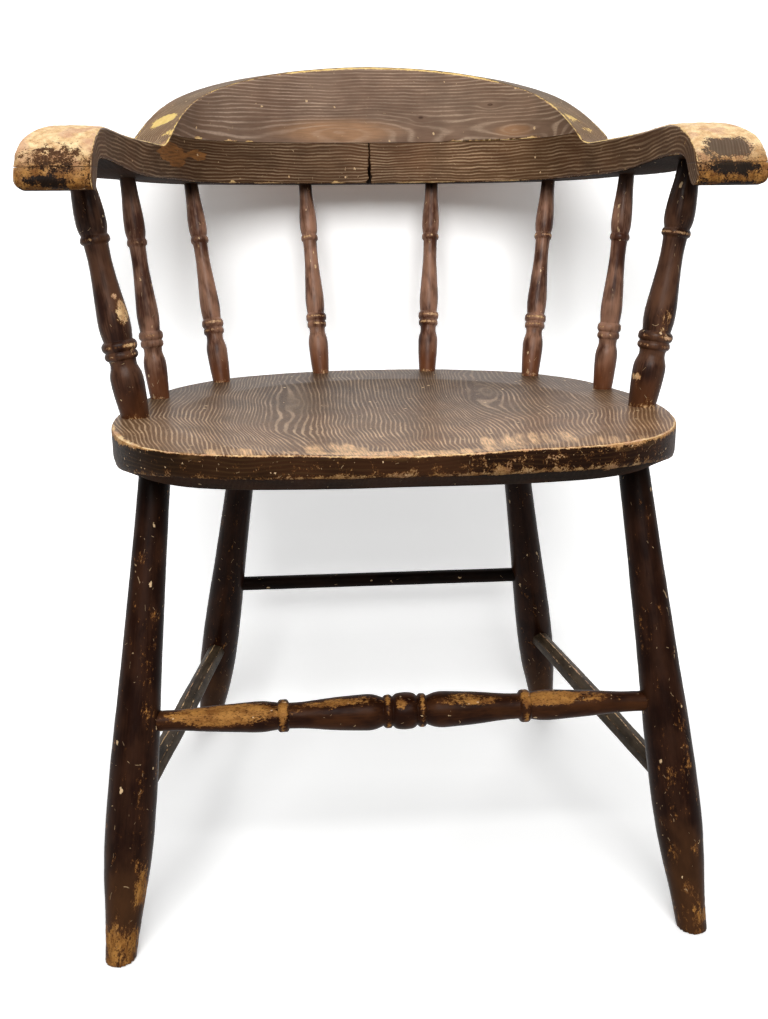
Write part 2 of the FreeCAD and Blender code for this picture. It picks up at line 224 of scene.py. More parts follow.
def oval_figure():
    """Bends the comb lines round an oval, so that they close in rings inside it."""
    tree, w, given, done = effect(
        "oval figure",
        {"Along": 0.0, "Across": 0.0, "Centre along": 0.0, "Centre across": 0.0, "Half length": 50.0,
         "Half height": 15.0, "Lift": 5.0},
        ["Shift", "Core"])
    run = w.over(w.less(given["Along"], given["Centre along"]), given["Half length"])
    rise = w.over(w.less(given["Across"], given["Centre across"]), given["Half height"])
    run_squared = w.times(run, run)
    rise_squared = w.times(rise, rise)
    held = w.over(run_squared, w.add(w.times(run_squared, 0.5), 1.0))
    ring = w.less(w.math("SQRT", w.add(held, rise_squared)), rise)
    fade = w.math("EXPONENT", w.add(w.times(run_squared, -0.12), w.times(rise_squared, -0.16)))
    w.feed(done["Shift"], w.times(w.times(ring, fade), given["Lift"]))
    w.feed(done["Core"], w.step(w.math("SQRT", w.add(run_squared, rise_squared)), 0.95, 0.35))
    return tree


def flaking():
    """Ragged loss of paint where the wear is high, with a thin rim of rubbed paint round it."""
    tree, w, given, done = effect(
        "flaking paint", {"Wear": 0.0, "Size": 6.0, "Ragged": 0.9}, ["Bare", "Rim"], place=True)
    each = w.cells(given["Place"], given["Size"])
    coarse = w.noise(each, 4.0, 0.62)
    fine = w.noise(w.grown(each, 4.7), 2.0)
    clusters = w.swing(w.noise(w.grown(each, 0.23), 2.0), 0.9)
    rough = w.add(w.add(w.add(coarse, w.times(fine, 0.4)), -0.7), clusters)
    level = w.add(w.add(w.times(given["Wear"], 1.15), -0.1), w.times(rough, given["Ragged"]))
    w.feed(done["Bare"], w.step(level, 0.47, 0.55))
    w.feed(done["Rim"], w.step(level, 0.3, 0.5))
    return tree


def nicks():
    """Scattered small chips, each at its own size."""
    tree, w, given, done = effect("nicks", {"Cell": 6.0, "Amount": 0.1}, ["Nicks"], place=True)
    bent = w.node("ShaderNodeTexNoise", {"Vector": given["Place"], "Scale": 0.6, "Detail": 2.0})
    bend = {0: bent.outputs["Color"], 1: (3.0, 3.0, 3.0), 2: given["Place"]}
    moved = w.node("ShaderNodeVectorMath", bend, operation="MULTIPLY_ADD").outputs[0]
    each = w.cells(moved, given["Cell"])
    cells = w.node("ShaderNodeTexVoronoi", {"Vector": each, "Scale": 1.0}).outputs
    chance = w.node("ShaderNodeSeparateColor", {0: cells["Color"]}).outputs
    chosen = w.math("LESS_THAN", chance[0], given["Amount"])
    reach = w.step(chance[1], 0.0, 1.0, 0.07, 0.24)
    inside = w.step(w.less(reach, cells["Distance"]), 0.0, 0.03)
    w.feed(done["Nicks"], w.times(chosen, inside))
    return tree


def scratches():
    """Short, nearly straight hairlines, kept only here and there along gentle curves."""
    tree, w, given, done = effect("scratches", {"Size": 20.0, "Amount": 0.3}, ["Scratches"], place=True)
    each = w.cells(given["Place"], given["Size"])
    away = w.math("ABSOLUTE", w.add(w.noise(each, 0.0), -0.5))
    line = w.step(away, 0.002, 0.006, 1.0, 0.0)
    keep = w.add(w.times(given["Amount"], -0.22), 0.74)
    there = w.step(w.noise(w.grown(each, 4.7), 1.0), keep, w.add(keep, 0.04))
    w.feed(done["Scratches"], w.times(line, there))
    return tree


def bare_wood():
    """The ground coat and wood under the paint, from pale yellow to amber."""
    tree, w, given, done = effect("bare wood", {"Warmth": 0.4}, ["Colour"], place=True)
    place = given["Place"]
    broad = w.grain(place, (7, 7, 7), 4.0, 0.65)
    other = w.grain(place, (17, 23, 11), 4.0, 0.6)
    dust = w.grain(place, (1.1, 1.1, 1.1), 3.0)
    pale = w.blend(w.step(broad, 0.32, 0.68), tone(242, 214, 166), tone(206, 162, 114))
    warm = w.blend(w.step(broad, 0.32, 0.68), tone(184, 130, 66), tone(124, 78, 36))
    share = w.step(w.add(given["Warmth"], w.swing(other, 0.7)), 0.1, 0.9)
    base = w.blend(share, pale, warm)
    pink = w.times(w.patches(place, (19, 19, 19), 1.0, 0.5, 0.62), 0.55)
    base = w.blend(w.times(pink, w.less(1.0, share)), base, tone(196, 148, 124))
    specks = w.times(w.step(dust, 0.55, 0.66), w.step(share, 0.0, 0.8, 0.3, 0.8))
    w.feed(done["Colour"], w.blend(specks, base, tone(72, 42, 20)))
    return tree


COMB = comb_lines()
FIGURE = oval_figure()
FLAKING = flaking()
NICKS = nicks()
SCRATCHES = scratches()
BARE = bare_wood()


# paint
YELLOW_GROUND = (236, 206, 112)
THIN_PAINT = (150, 98, 52)
SCRATCHED = (186, 156, 118)
CHIPPED = (214, 182, 140)
GRIME = (92, 56, 34)
DUST_SIZE = (1.4, 1.4, 1.4)
SCRATCH_SIZE = 16.0
RELIEF = {"Strength": 0.5, "Distance": 0.0003}


def new_material(name, shine=0.2):
    m = bpy.data.materials.new(name)
    m.use_nodes = True
    shader = m.node_tree.nodes["Principled BSDF"]
    shader.inputs["Specular IOR Level"].default_value = shine
    return m, Wiring(m.node_tree), shader


def finish_paint(w, shader, place, z, colour, lines, warmth, flake=6.0, ragged=0.9, nick=0.1, cell=6.0,
                 scratch=0.3, gloss=0.42, aged=(0.0, 1.0, 1.0, 1.0), yellow=0.0):
    """Wear, nicks, scratches, gloss and relief, the same way on every painted surface. aged is
    (from, to, level, level): the bare wood changes level between two heights."""
    loss = w.use(FLAKING, {"Place": place, "Wear": w.mark("wear"), "Size": flake, "Ragged": ragged})
    chips = w.use(NICKS, {"Place": place, "Cell": cell, "Amount": nick})["Nicks"]
    hairs = w.use(SCRATCHES, {"Place": place, "Size": SCRATCH_SIZE, "Amount": scratch})["Scratches"]
    bare = w.use(BARE, {"Place": place, "Warmth": warmth})["Colour"]
    bare = w.lit(w.step(z, *aged), w.blend(yellow, bare, tone(*YELLOW_GROUND)))
    thin = w.blend(0.55, colour, tone(*THIN_PAINT))
    colour = w.blend(w.times(loss["Rim"], 0.6), colour, thin)
    colour = w.blend(w.times(hairs, 0.75), colour, tone(*SCRATCHED))
    colour = w.blend(loss["Bare"], colour, bare)
    colour = w.blend(w.times(chips, 0.9), colour, tone(*CHIPPED))
    dust = w.grain(place, DUST_SIZE, 3.0)
    w.feed(shader.inputs["Base Color"], colour)
    dull = w.add(w.step(dust, 0.3, 0.7, gloss - 0.06, gloss + 0.1), w.times(loss["Bare"], 0.16))
    w.feed(shader.inputs["Roughness"], dull)
    height = w.add(w.times(lines, 0.35), w.times(dust, 0.25))
    height = w.less(height, w.times(loss["Bare"], 0.8))
    height = w.less(height, w.times(w.add(chips, hairs), 0.7))
    w.feed(shader.inputs["Normal"], w.node("ShaderNodeBump", {"Height": height, **RELIEF}).outputs[0])


def millimetres(w):
    """Where the surface is in the chair's own frame."""
    return w.grown(w.node("ShaderNodeTexCoord").outputs["Object"], 1000.0)


COMB_FAN_FROM = 90.0  # in front of this the combing of the seat spreads
COMB_FAN = 0.0014
TINT_REACH = 190.0  # the left tint turns into the right one from -x to x
WARM_BETWEEN = (662.0, 622.0)  # the heights between which bare wood turns warmer downwards
CLOUDS = (0.84, 1.14)  # how dark and how light the paint gets from cloud to cloud


def combed(name, dark, light, comb, guide="way", lines_show=0.85, figures=(), warmth=(0.3, 0.3),
           rubbed_and_sheen=(186, 138, 92), rub_and_sheen_edge=0.1, tone_and_painted_light_steps=(), shine=0.2, **wear):
    """Glaze combed over a lighter ground. dark and light are each a pair, for the left and right.
    shades are (axis, from, to, level, level): the glaze changes level between two places, partly as a
    change of its tone and partly as painted light and shade. The comb follows the way kept on the
    mesh, or with the guide "top" it runs from back to front."""
    m, w, shader = new_material(name, shine)
    place = millimetres(w)
    x, y, z = w.parts(place)
    if guide == "way":
        along, across, _ = w.parts(w.grown(w.mark("way", "Vector"), 1000.0))
        streak_run = 0.024
    else:
        past_fan = w.math("MAXIMUM", w.add(w.times(y, -1.0), -COMB_FAN_FROM), 0.0)
        spread = w.add(w.times(past_fan, COMB_FAN), 1.0)
        along, across = y, w.times(x, spread)
        streak_run = 0.007
    shift = 0.0
    calm = 1.0
    rightward = w.step(x, -TINT_REACH, TINT_REACH)
    colour = w.blend(rightward, tone(*dark[0]), tone(*dark[1]))
    pale = w.blend(rightward, tone(*light[0]), tone(*light[1]))
    dirty = w.blend(0.5, colour, tone(*GRIME))
    colour = w.blend(w.patches(place, (70, 70, 50), 2.0, 0.38, 0.66, 0.0, 0.45), colour, dirty)
    for centre, half, lift, shade, tint in figures:
        eye = w.use(FIGURE, {"Along": along, "Across": across, "Centre along": centre[0],
                             "Centre across": centre[1], "Half length": half[0], "Half height": half[1],
                             "Lift": lift})
        shift = w.add(eye["Shift"], shift)
        colour = w.blend(w.times(eye["Core"], shade), colour, tone(*tint))
        calm = w.times(w.step(eye["Core"], 0.0, 1.0, 1.0, 0.55), calm)
    lines = w.use(COMB, {"Along": along, "Across": across, "Shift": shift, **comb})["Lines"]
    # the rubbed colour shows rubbed paint, and at the middle of the seat's front a painted sheen
    rub_and_sheen = w.mark("rub_and_sheen")
    streak = w.noise(w.xyz(w.times(along, streak_run), w.times(across, 0.1), 3.0), 4.0, 0.6)
    torn = w.swing(streak, w.step(rub_and_sheen, 0.0, 0.3, 0.0, 2.6))
    rub_and_sheen = w.step(w.add(rub_and_sheen, torn), 0.5 - rub_and_sheen_edge, 0.5 + rub_and_sheen_edge)
    faint = w.patches(place, (48, 48, 38), 2.0, 0.3, 0.68, 0.45, 1.0)
    shown = w.times(w.times(lines, faint), w.step(rub_and_sheen, 0.1, 0.9, lines_show, lines_show * 0.35))
    shown = w.times(shown, calm)
    colour = w.blend(shown, colour, pale)
    fine = w.noise(w.xyz(w.times(along, 0.05), w.times(across, 0.6), 7.0), 2.0)
    colour = w.blend(w.times(rub_and_sheen, w.step(fine, 0.3, 0.6, 0.4, 0.9)), colour, tone(*rubbed_and_sheen))
    level = w.patches(place, (34, 34, 26), 3.0, 0.25, 0.75, *CLOUDS)
    level = w.times(level, w.step(fine, 0.25, 0.7, 0.9, 1.1))
    # painted light and shade for some finishes: on the seat top and on the arms' inner faces these steps
    # stand in for light
    for axis, start, end, low, high in tone_and_painted_light_steps:
        level = w.times(level, w.step((x, y, z)["xyz".index(axis)], start, end, low, high))
    heat = w.step(z, *WARM_BETWEEN, *warmth)
    finish_paint(w, shader, place, z, w.lit(level, colour), shown, heat, **wear)
    return m


def turned_paint(name, dark, middle, warm, warm_at, shine, warmth=0.45, painted_shade_heights=(700.0, 701.0), **wear):
    """Plain satin paint on turned work, streaked along the grain. warm_at is the heights between
    which the paint turns warmer, dim those between which it darkens upwards, a painted shade where
    the seat or the bow above shades the piece."""
    m, w, shader = new_material(name, shine)
    place = w.grown(w.mark("turned", "Vector"), 1000.0)
    z = w.parts(millimetres(w))[2]
    streak = w.grain(place, (1.5, 1.5, 40), 3.0)
    patch = w.grain(place, (16, 16, 34), 3.0)
    mixed = w.add(w.times(streak, 0.24), w.times(patch, 0.76))
    colour = w.blend(w.step(mixed, 0.38, 0.62), tone(*dark), tone(*middle))
    heat = w.add(w.step(z, *warm_at), w.swing(patch, 1.1))
    colour = w.blend(w.step(heat, 0.15, 1.0, 0.0, 0.8), colour, tone(*warm))
    level = w.patches(place, (9, 9, 22), 3.0, 0.25, 0.75, 0.78, 1.18)
    # painted shade: the colour darkens upwards towards the seat or the bow above the piece
    level = w.times(level, w.step(z, *painted_shade_heights, 1.0, 0.28))
    longer = w.scaled(place, (1.0, 1.0, 1.9))
    finish_paint(w, shader, longer, z, w.lit(level, colour), 0.0, warmth, **wear)
    return m


# finishes
def comb(spacing, sway, wiggle, width, softness, seed):
    """The settings of the comb lines of one finish."""
    return {"Spacing": spacing, "Sway": sway, "Wiggle": wiggle, "Width": width, "Softness": softness,
            "Seed": seed}


# figures are (centre along and across, half length and height, lift, shade, tint)
CREST_FIGURES = (
    ((-34.0, 11.5), (92.0, 18.0), 3.6, 0.62, (166, 124, 88)),
    ((161.0, 9.0), (32.0, 9.0), 2.6, 0.6, (158, 118, 84)),
    ((57.0, 25.3), (4.0, 2.0), 0.5, 0.9, (70, 48, 36)),
    ((133.0, 36.4), (4.5, 1.8), 0.5, 0.9, (72, 50, 38)),
)
SEAT_FIGURES = (
    ((24.0, -84.0), (84.0, 18.0), 2.3, 0.3, (132, 104, 74)),
    ((44.0, 107.0), (42.0, 15.0), 3.2, 0.3, (134, 106, 78)),
)
CREST_FACE = combed(
    "crest face", dark=((118, 95, 79), (121, 97, 79)), light=((184, 160, 140), (188, 163, 138)),
    comb=comb(spacing=3.3, sway=8.0, wiggle=1.2, width=0.3, softness=0.24, seed=2.0),
    figures=CREST_FIGURES, flake=2.2, ragged=1.2, nick=0.04, scratch=0.4, gloss=0.5, yellow=0.24, shine=0.12)
CREST_TOP_FACE = combed(
    "crest top", dark=((116, 88, 62), (100, 74, 48)), light=((196, 168, 130), (178, 148, 104)),
    comb=comb(spacing=3.2, sway=8.0, wiggle=1.5, width=0.36, softness=0.3, seed=5.0),
    tone_and_painted_light_steps=(("z", 690.0, 740.0, 1.05, 0.68),), warmth=(0.0, 0.2), flake=1.8, ragged=1.3, nick=0.08,
    cell=5.0, scratch=1.0, gloss=0.5, yellow=0.65, shine=0.08)
BOW_BACK = combed(
    "bow back", dark=((84, 58, 41), (84, 58, 41)), light=((138, 106, 78), (138, 106, 78)),
    comb=comb(spacing=4.4, sway=12.0, wiggle=2.0, width=0.3, softness=0.3, seed=8.0),
    lines_show=0.7, warmth=(0.35, 0.6), flake=4.0, nick=0.05, scratch=0.4)
# partly painted shade: the underside's glaze is darker than the rest, also standing in for the shade under
# the bow
BOW_UNDER = combed(
    "bow underside", dark=((46, 34, 26), (34, 22, 13)), light=((74, 60, 48), (60, 45, 31)),
    comb=comb(spacing=5.0, sway=8.0, wiggle=2.0, width=0.3, softness=0.4, seed=11.0),
    lines_show=0.4, warmth=(0.4, 0.4), flake=3.0, nick=0.03, scratch=0.2, gloss=0.7, shine=0.02)
# painted light and shade: the outer steps make the inner face of the left arm lighter and that of the right
# arm darker; the middle steps make the glaze darker left of the centre and lighter right of it
RAIL_FACE = combed(
    "rail face", dark=((79, 55, 36), (82, 58, 38)), light=((166, 138, 110), (172, 143, 112)),
    comb=comb(spacing=3.2, sway=12.0, wiggle=2.0, width=0.38, softness=0.22, seed=14.0),
    tone_and_painted_light_steps=(("x", 5.0, 50.0, 1.0, 1.2), ("x", 130.0, 200.0, 1.0, 0.84), ("x", -30.0, -110.0, 1.0, 0.76),
            ("x", -190.0, -225.0, 1.0, 1.45)),
    rubbed_and_sheen=(160, 108, 62), rub_and_sheen_edge=0.06, warmth=(0.2, 0.4), flake=2.0, ragged=1.1, nick=0.05, cell=5.0,
    scratch=0.5, gloss=0.45, yellow=0.2, shine=0.08)
ARM_TOP_FACE = combed(
    "arm top", dark=((62, 42, 27), (88, 74, 60)), light=((112, 88, 66), (124, 108, 92)),
    comb=comb(spacing=2.4, sway=4.0, wiggle=1.2, width=0.3, softness=0.4, seed=17.0),
    lines_show=0.5, tone_and_painted_light_steps=(("z", 630.0, 641.0, 0.12, 1.0),), warmth=(-0.1, 0.85), flake=1.3, ragged=1.5,
    nick=0.1, cell=4.5, scratch=0.5, gloss=0.45, aged=(620.0, 659.0, 0.68, 0.98), shine=0.06)
# painted light and shade: the seat top's glaze is darker at the back and lighter towards the front, and its
# pale rubbed colour also paints a sheen at the front
SEAT_TOP_FACE = combed(
    "seat top", dark=((104, 78, 55), (108, 79, 54)), light=((200, 168, 134), (202, 166, 128)),
    comb=comb(spacing=3.9, sway=16.0, wiggle=1.3, width=0.34, softness=0.2, seed=21.0),
    guide="top", figures=SEAT_FIGURES, tone_and_painted_light_steps=(("y", 110.0, -215.0, 0.54, 1.2),), rubbed_and_sheen=(208, 166, 120),
    rub_and_sheen_edge=0.24, warmth=(-0.1, -0.1), flake=2.2, ragged=1.1, nick=0.1, cell=6.5, scratch=0.7, gloss=0.4,
    shine=0.07)
SEAT_EDGE_FACE = combed(
    "seat edge", dark=((33, 20, 9), (30, 15, 7)), light=((68, 48, 27), (62, 42, 24)),
    comb=comb(spacing=3.4, sway=16.0, wiggle=1.6, width=0.3, softness=0.3, seed=25.0),
    lines_show=0.6, rubbed_and_sheen=(72, 50, 28), warmth=(0.6, 0.6), flake=1.5, ragged=1.35, nick=0.16, cell=3.4,
    scratch=0.6, aged=(419.0, 427.0, 0.66, 1.0), shine=0.04)
# partly painted shade: the underside and bevel are darker than the top, also standing in for the shade under
# the seat
SEAT_UNDER_FACE = combed(
    "seat underside", dark=((33, 22, 14), (32, 21, 13)), light=((58, 43, 30), (54, 39, 26)),
    comb=comb(spacing=5.0, sway=18.0, wiggle=2.0, width=0.3, softness=0.4, seed=28.0),
    guide="top", lines_show=0.4, warmth=(0.6, 0.6), flake=3.0, ragged=1.0, nick=0.05, scratch=0.2,
    gloss=0.7, shine=0.02)
NOWHERE = (20.0, 10.0)  # a warm_at lower than any piece that is painted with it
# the legs darken at their tops, under the seat, as a painted shade
LEG_PAINT = turned_paint(
    "leg paint", dark=(27, 10, 4), middle=(47, 26, 15), warm=(68, 42, 22), warm_at=(150.0, 20.0),
    warmth=0.9, painted_shade_heights=(330.0, 400.0), flake=2.6, ragged=1.4, nick=0.08, cell=6.0, scratch=0.6, gloss=0.36,
    aged=(0.0, 300.0, 0.84, 1.1), shine=0.06)
# the spindles darken at their tops, under the bow, as a painted shade
SPINDLE_PAINT = turned_paint(
    "spindle paint", dark=(68, 38, 25), middle=(148, 109, 87), warm=(104, 60, 34), warm_at=(480.0, 436.0),
    painted_shade_heights=(602.0, 634.0), flake=1.8, ragged=1.3, nick=0.12, cell=5.0, scratch=0.6, gloss=0.34, shine=0.16)
# the arm posts darken at their tops, under the bow, as a painted shade
POST_PAINT = turned_paint(
    "arm post paint", dark=(36, 16, 8), middle=(82, 54, 38), warm=(72, 40, 20), warm_at=(480.0, 436.0),
    painted_shade_heights=(600.0, 645.0), flake=2.2, ragged=1.3, nick=0.13, cell=6.0, scratch=0.7, gloss=0.34, shine=0.12)
STRETCHER_PAINT = turned_paint(
    "front stretcher paint", dark=(34, 14, 5), middle=(60, 33, 15), warm=(80, 46, 20), warm_at=NOWHERE,
    warmth=0.95, flake=1.6, ragged=1.35, nick=0.1, cell=4.0, scratch=0.5, gloss=0.4,
    aged=(0.0, 1.0, 0.86, 0.86), shine=0.06)
ROD_PAINT = turned_paint(
    "side stretcher paint", dark=(46, 36, 25), middle=(80, 66, 50), warm=(90, 72, 50), warm_at=NOWHERE,
    warmth=0.35, flake=2.4, ragged=1.2, nick=0.06, scratch=0.5, gloss=0.45, shine=0.06)
REAR_ROD_PAINT = turned_paint(
    "rear stretcher paint", dark=(14, 7, 4), middle=(26, 14, 8), warm=(36, 22, 11), warm_at=NOWHERE,
    flake=4.0, nick=0.06, cell=5.0, scratch=0.4, gloss=0.5, shine=0.04)


# smooth curves through given points
def smooth_line(points, closed=False, start=None, end=None):
    """A curve through the points, read by point number: 0 is the first point, 1.5 lies halfway
    between the second and the third."""
    p = np.array(points, float)
    if closed:
        p = np.vstack([p, p[:1]])
    n = len(p)
    step = np.linalg.norm(np.diff(p, axis=0), axis=1)
    slope = np.diff(p, axis=0) / step[:, None]
    a = np.zeros((n, n))
    b = np.zeros_like(p)
    for i in range(1, n - 1):
        a[i, i - 1], a[i, i], a[i, i + 1] = step[i], 2 * (step[i - 1] + step[i]), step[i - 1]
        b[i] = 3 * (step[i] * slope[i - 1] + step[i - 1] * slope[i])
    if closed:
        a[0, 0], a[0, 1], a[0, n - 2] = 2 * (step[-1] + step[0]), step[-1], step[0]
        b[0] = 3 * (step[0] * slope[-1] + step[-1] * slope[0])
        a[n - 1, 0], a[n - 1, n - 1] = 1, -1
    else:
        a[0, 0], a[n - 1, n - 1] = 1, 1
        b[0], b[n - 1] = 0, 0
        if start is None:
            a[0, 0], a[0, 1], b[0] = 2, 1, 3 * slope[0]
        else:
            b[0] = start
        if end is None:
            a[n - 1, n - 1], a[n - 1, n - 2], b[n - 1] = 2, 1, 3 * slope[-1]
        else:
            b[n - 1] = end
    m = np.linalg.solve(a, b)

    def at(number):
        number = np.clip(np.atleast_1d(number).astype(float), 0, n - 1)
        i = np.minimum(number.astype(int), n - 2)
        t = (number - i)[:, None]
        h = step[i][:, None]
        near = (1 + 2 * t) * (1 - t) ** 2 * p[i] + t * (1 - t) ** 2 * h * m[i]
        return near + t * t * (3 - 2 * t) * p[i + 1] + t * t * (t - 1) * h * m[i + 1]

    return at


def walked(points):
    """The length along a row of points, from the first one to each."""
    return np.concatenate([[0], np.cumsum(np.linalg.norm(np.diff(points, axis=0), axis=1))])


def evenly(curve, first, last, count):
    """Point numbers that divide the curve into equal lengths."""
    fine = np.linspace(first, last, 2000)
    run = walked(curve(fine))
    return np.interp(np.linspace(0, run[-1], count), run, fine)


def height_of(points):
    """A smooth height over one horizontal reach, given as (reach, height) points."""
    pts = sorted(points)
    dense = smooth_line(pts)(np.linspace(0, len(pts) - 1, 1500))
    return lambda reach: np.interp(reach, dense[:, 0], dense[:, 1])


def ease(x, low, high):
    """0 below low, 1 above high, and a soft step between them."""
    t = np.clip((np.asarray(x, float) - low) / (high - low), 0, 1)
    return t * t * (3 - 2 * t)


def window(x, low, high, soft):
    """1 between low and high and 0 outside, with soft ends."""
    return ease(x, low - soft, low + soft) * (1 - ease(x, high - soft, high + soft))


def flipped(point, side):
    """The point on the right for a side of 1, and its mirror image on the left for -1."""
    return (point[0] * side, point[1], point[2])


def between(a, b, z):
    """The point at one height on the line from a to b."""
    t = (z - a[2]) / (b[2] - a[2])
    return tuple(a[i] + (b[i] - a[i]) * t for i in range(3))


def distance(a, b):
    """The length of the straight line between two points."""
    return (Vector(b) - Vector(a)).length


def trimmed(a, b, cut):
    """The ends of a line after both are cut back."""
    a, b = Vector(a), Vector(b)
    d = (b - a).normalized()
    return tuple(a + d * cut), tuple(b - d * cut)


# mesh making
def new_object(name, mesh):
    obj = bpy.data.objects.new(name, mesh)
    bpy.context.scene.collection.objects.link(obj)
    return obj


def set_marks(mesh, marks):
    """Keeps named values, or places, on the points of a mesh."""
    for key, values in marks.items():
        values = np.asarray(values, float).reshape(len(mesh.vertices), -1)
        single = values.shape[1] == 1
        mark = mesh.attributes.get(key)
        if mark is None:
            mark = mesh.attributes.new(key, "FLOAT" if single else "FLOAT_VECTOR", "POINT")
        mark.data.foreach_set("value" if single else "vector", values.ravel())


def mark_values(mesh, key):
    values = np.zeros(len(mesh.vertices))
    if key in mesh.attributes:
        mesh.attributes[key].data.foreach_get("value", values)
    return values


def skin(name, rings, marks, zones, materials, cap_zone):
    """A closed shape from rings of points in millimetres. marks are named values for each point,
    zones the material number of each strip of faces round each ring."""
    rings = np.asarray(rings)
    count, around = rings.shape[:2]
    number = np.arange(count * around).reshape(count, around)
    onward = np.roll(number, -1, axis=1)
    quads = np.stack([number[:-1], onward[:-1], onward[1:], number[1:]], axis=-1).reshape(-1, 4)
    faces = [tuple(q) for q in quads.tolist()]
    faces.append(tuple(range(around)))
    faces.append(tuple((count - 1) * around + j for j in range(around)))
    slots = np.broadcast_to(zones, (count - 1, around)).ravel().tolist() + [cap_zone, cap_zone]
    mesh = bpy.data.meshes.new(name)
    mesh.from_pydata((rings.reshape(-1, 3) * MM).tolist(), [], faces)
    set_marks(mesh, marks)
    mesh.polygons.foreach_set("material_index", slots)
    for m in materials:
        mesh.materials.append(m)
    bm = bmesh.new()
    bm.from_mesh(mesh)
    bmesh.ops.recalc_face_normals(bm, faces=bm.faces)
    bm.to_mesh(mesh)
    bm.free()
    mesh.shade_smooth()
    return new_object(name, mesh)


WAVE_LENGTH = 34  # of the slow unevenness of hand-worked wood
RAGGED_LENGTH = 5  # of the ragged rim of a worn place
WORN_FROM = 0.35


def weather(obj, worn=(), rubbed_and_sheen=(), rub_depth=0.45, waves=0.0, seed=1.0):
    """Adds worn and rubbed places, (x, y, z, (reach in x, y, z), amount) in millimetres, to the
    wear and the rub already marked; on the seat one rubbed place is a painted sheen, shown in the
    same pale colour. The surface is rubbed back there and slightly uneven all over, and it never
    moves outwards."""
    mesh = obj.data
    places = np.empty(len(mesh.vertices) * 3)
    mesh.vertices.foreach_get("co", places)
    places = places.reshape(-1, 3) / MM
    wear, rub_and_sheen = mark_values(mesh, "wear"), mark_values(mesh, "rub_and_sheen")
    for store, spots in ((wear, worn), (rub_and_sheen, rubbed_and_sheen)):
        for x, y, z, reach, amount in spots:
            far = (((places - (x, y, z)) / reach) ** 2).sum(axis=1)
            store += amount * np.exp(-far ** 2)
    set_marks(mesh, {"wear": np.clip(wear, 0, 1.1), "rub_and_sheen": np.clip(rub_and_sheen, 0, 1)})
    shift = Vector((seed * 7.13, seed * 3.7, seed * 1.9))
    moved = []
    for v, here, amount in zip(mesh.vertices, places, wear):
        slow = noise.noise(Vector(here) / WAVE_LENGTH + shift)
        quick = noise.noise(Vector(here) / RAGGED_LENGTH + shift)
        gone = min(max((amount - WORN_FROM + 0.5 * quick) / 0.5, 0), 1)
        moved.append(v.co - v.normal * (waves * (0.5 + 0.5 * slow) + rub_depth * gone) * MM)
    mesh.vertices.foreach_set("co", np.array(moved).ravel())
    mesh.update()


def piece(obj, node):
    """Puts the finished surface in the place of its solid."""
    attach(obj, "root")
    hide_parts(node)


def mirrored(obj, name):
    """The same piece on the other side, with its faces turned back outwards."""
    mesh = obj.data.copy()
    mesh.name = name
    mesh.transform(Matrix.Scale(-1, 4, (1, 0, 0)))
    mesh.flip_normals()
    if "way" in mesh.attributes:
        way = np.zeros(len(mesh.vertices) * 3)
        mesh.attributes["way"].data.foreach_get("vector", way)
        way[0::3] *= -1
        mesh.attributes["way"].data.foreach_set("vector", way)
    return new_object(name, mesh)


def cut_flat(obj, point, normal):
    """Keeps what lies behind the plane and closes the cut."""
    bm = bmesh.new()
    bm.from_mesh(obj.data)
    geom = bm.verts[:] + bm.edges[:] + bm.faces[:]
    cut = bmesh.ops.bisect_plane(bm, geom=geom, plane_co=point, plane_no=normal, clear_outer=True)
    rim = [e for e in cut["geom_cut"] if isinstance(e, bmesh.types.BMEdge)]
    bmesh.ops.holes_fill(bm, edges=rim, sides=0)
    bmesh.ops.recalc_face_normals(bm, faces=bm.faces)
    bm.to_mesh(obj.data)
    bm.free()


def ease_cut(obj, z, depth):
    """Draws the rim of a level cut in a little, so that a joint shows as a fine groove."""
    for v in obj.data.vertices:
        if abs(v.co.z - z * MM) < 1e-6:
            flat = Vector((v.normal.x, v.normal.y, 0))
            if flat.length > 1e-4:
                v.co -= flat.normalized() * depth * MM


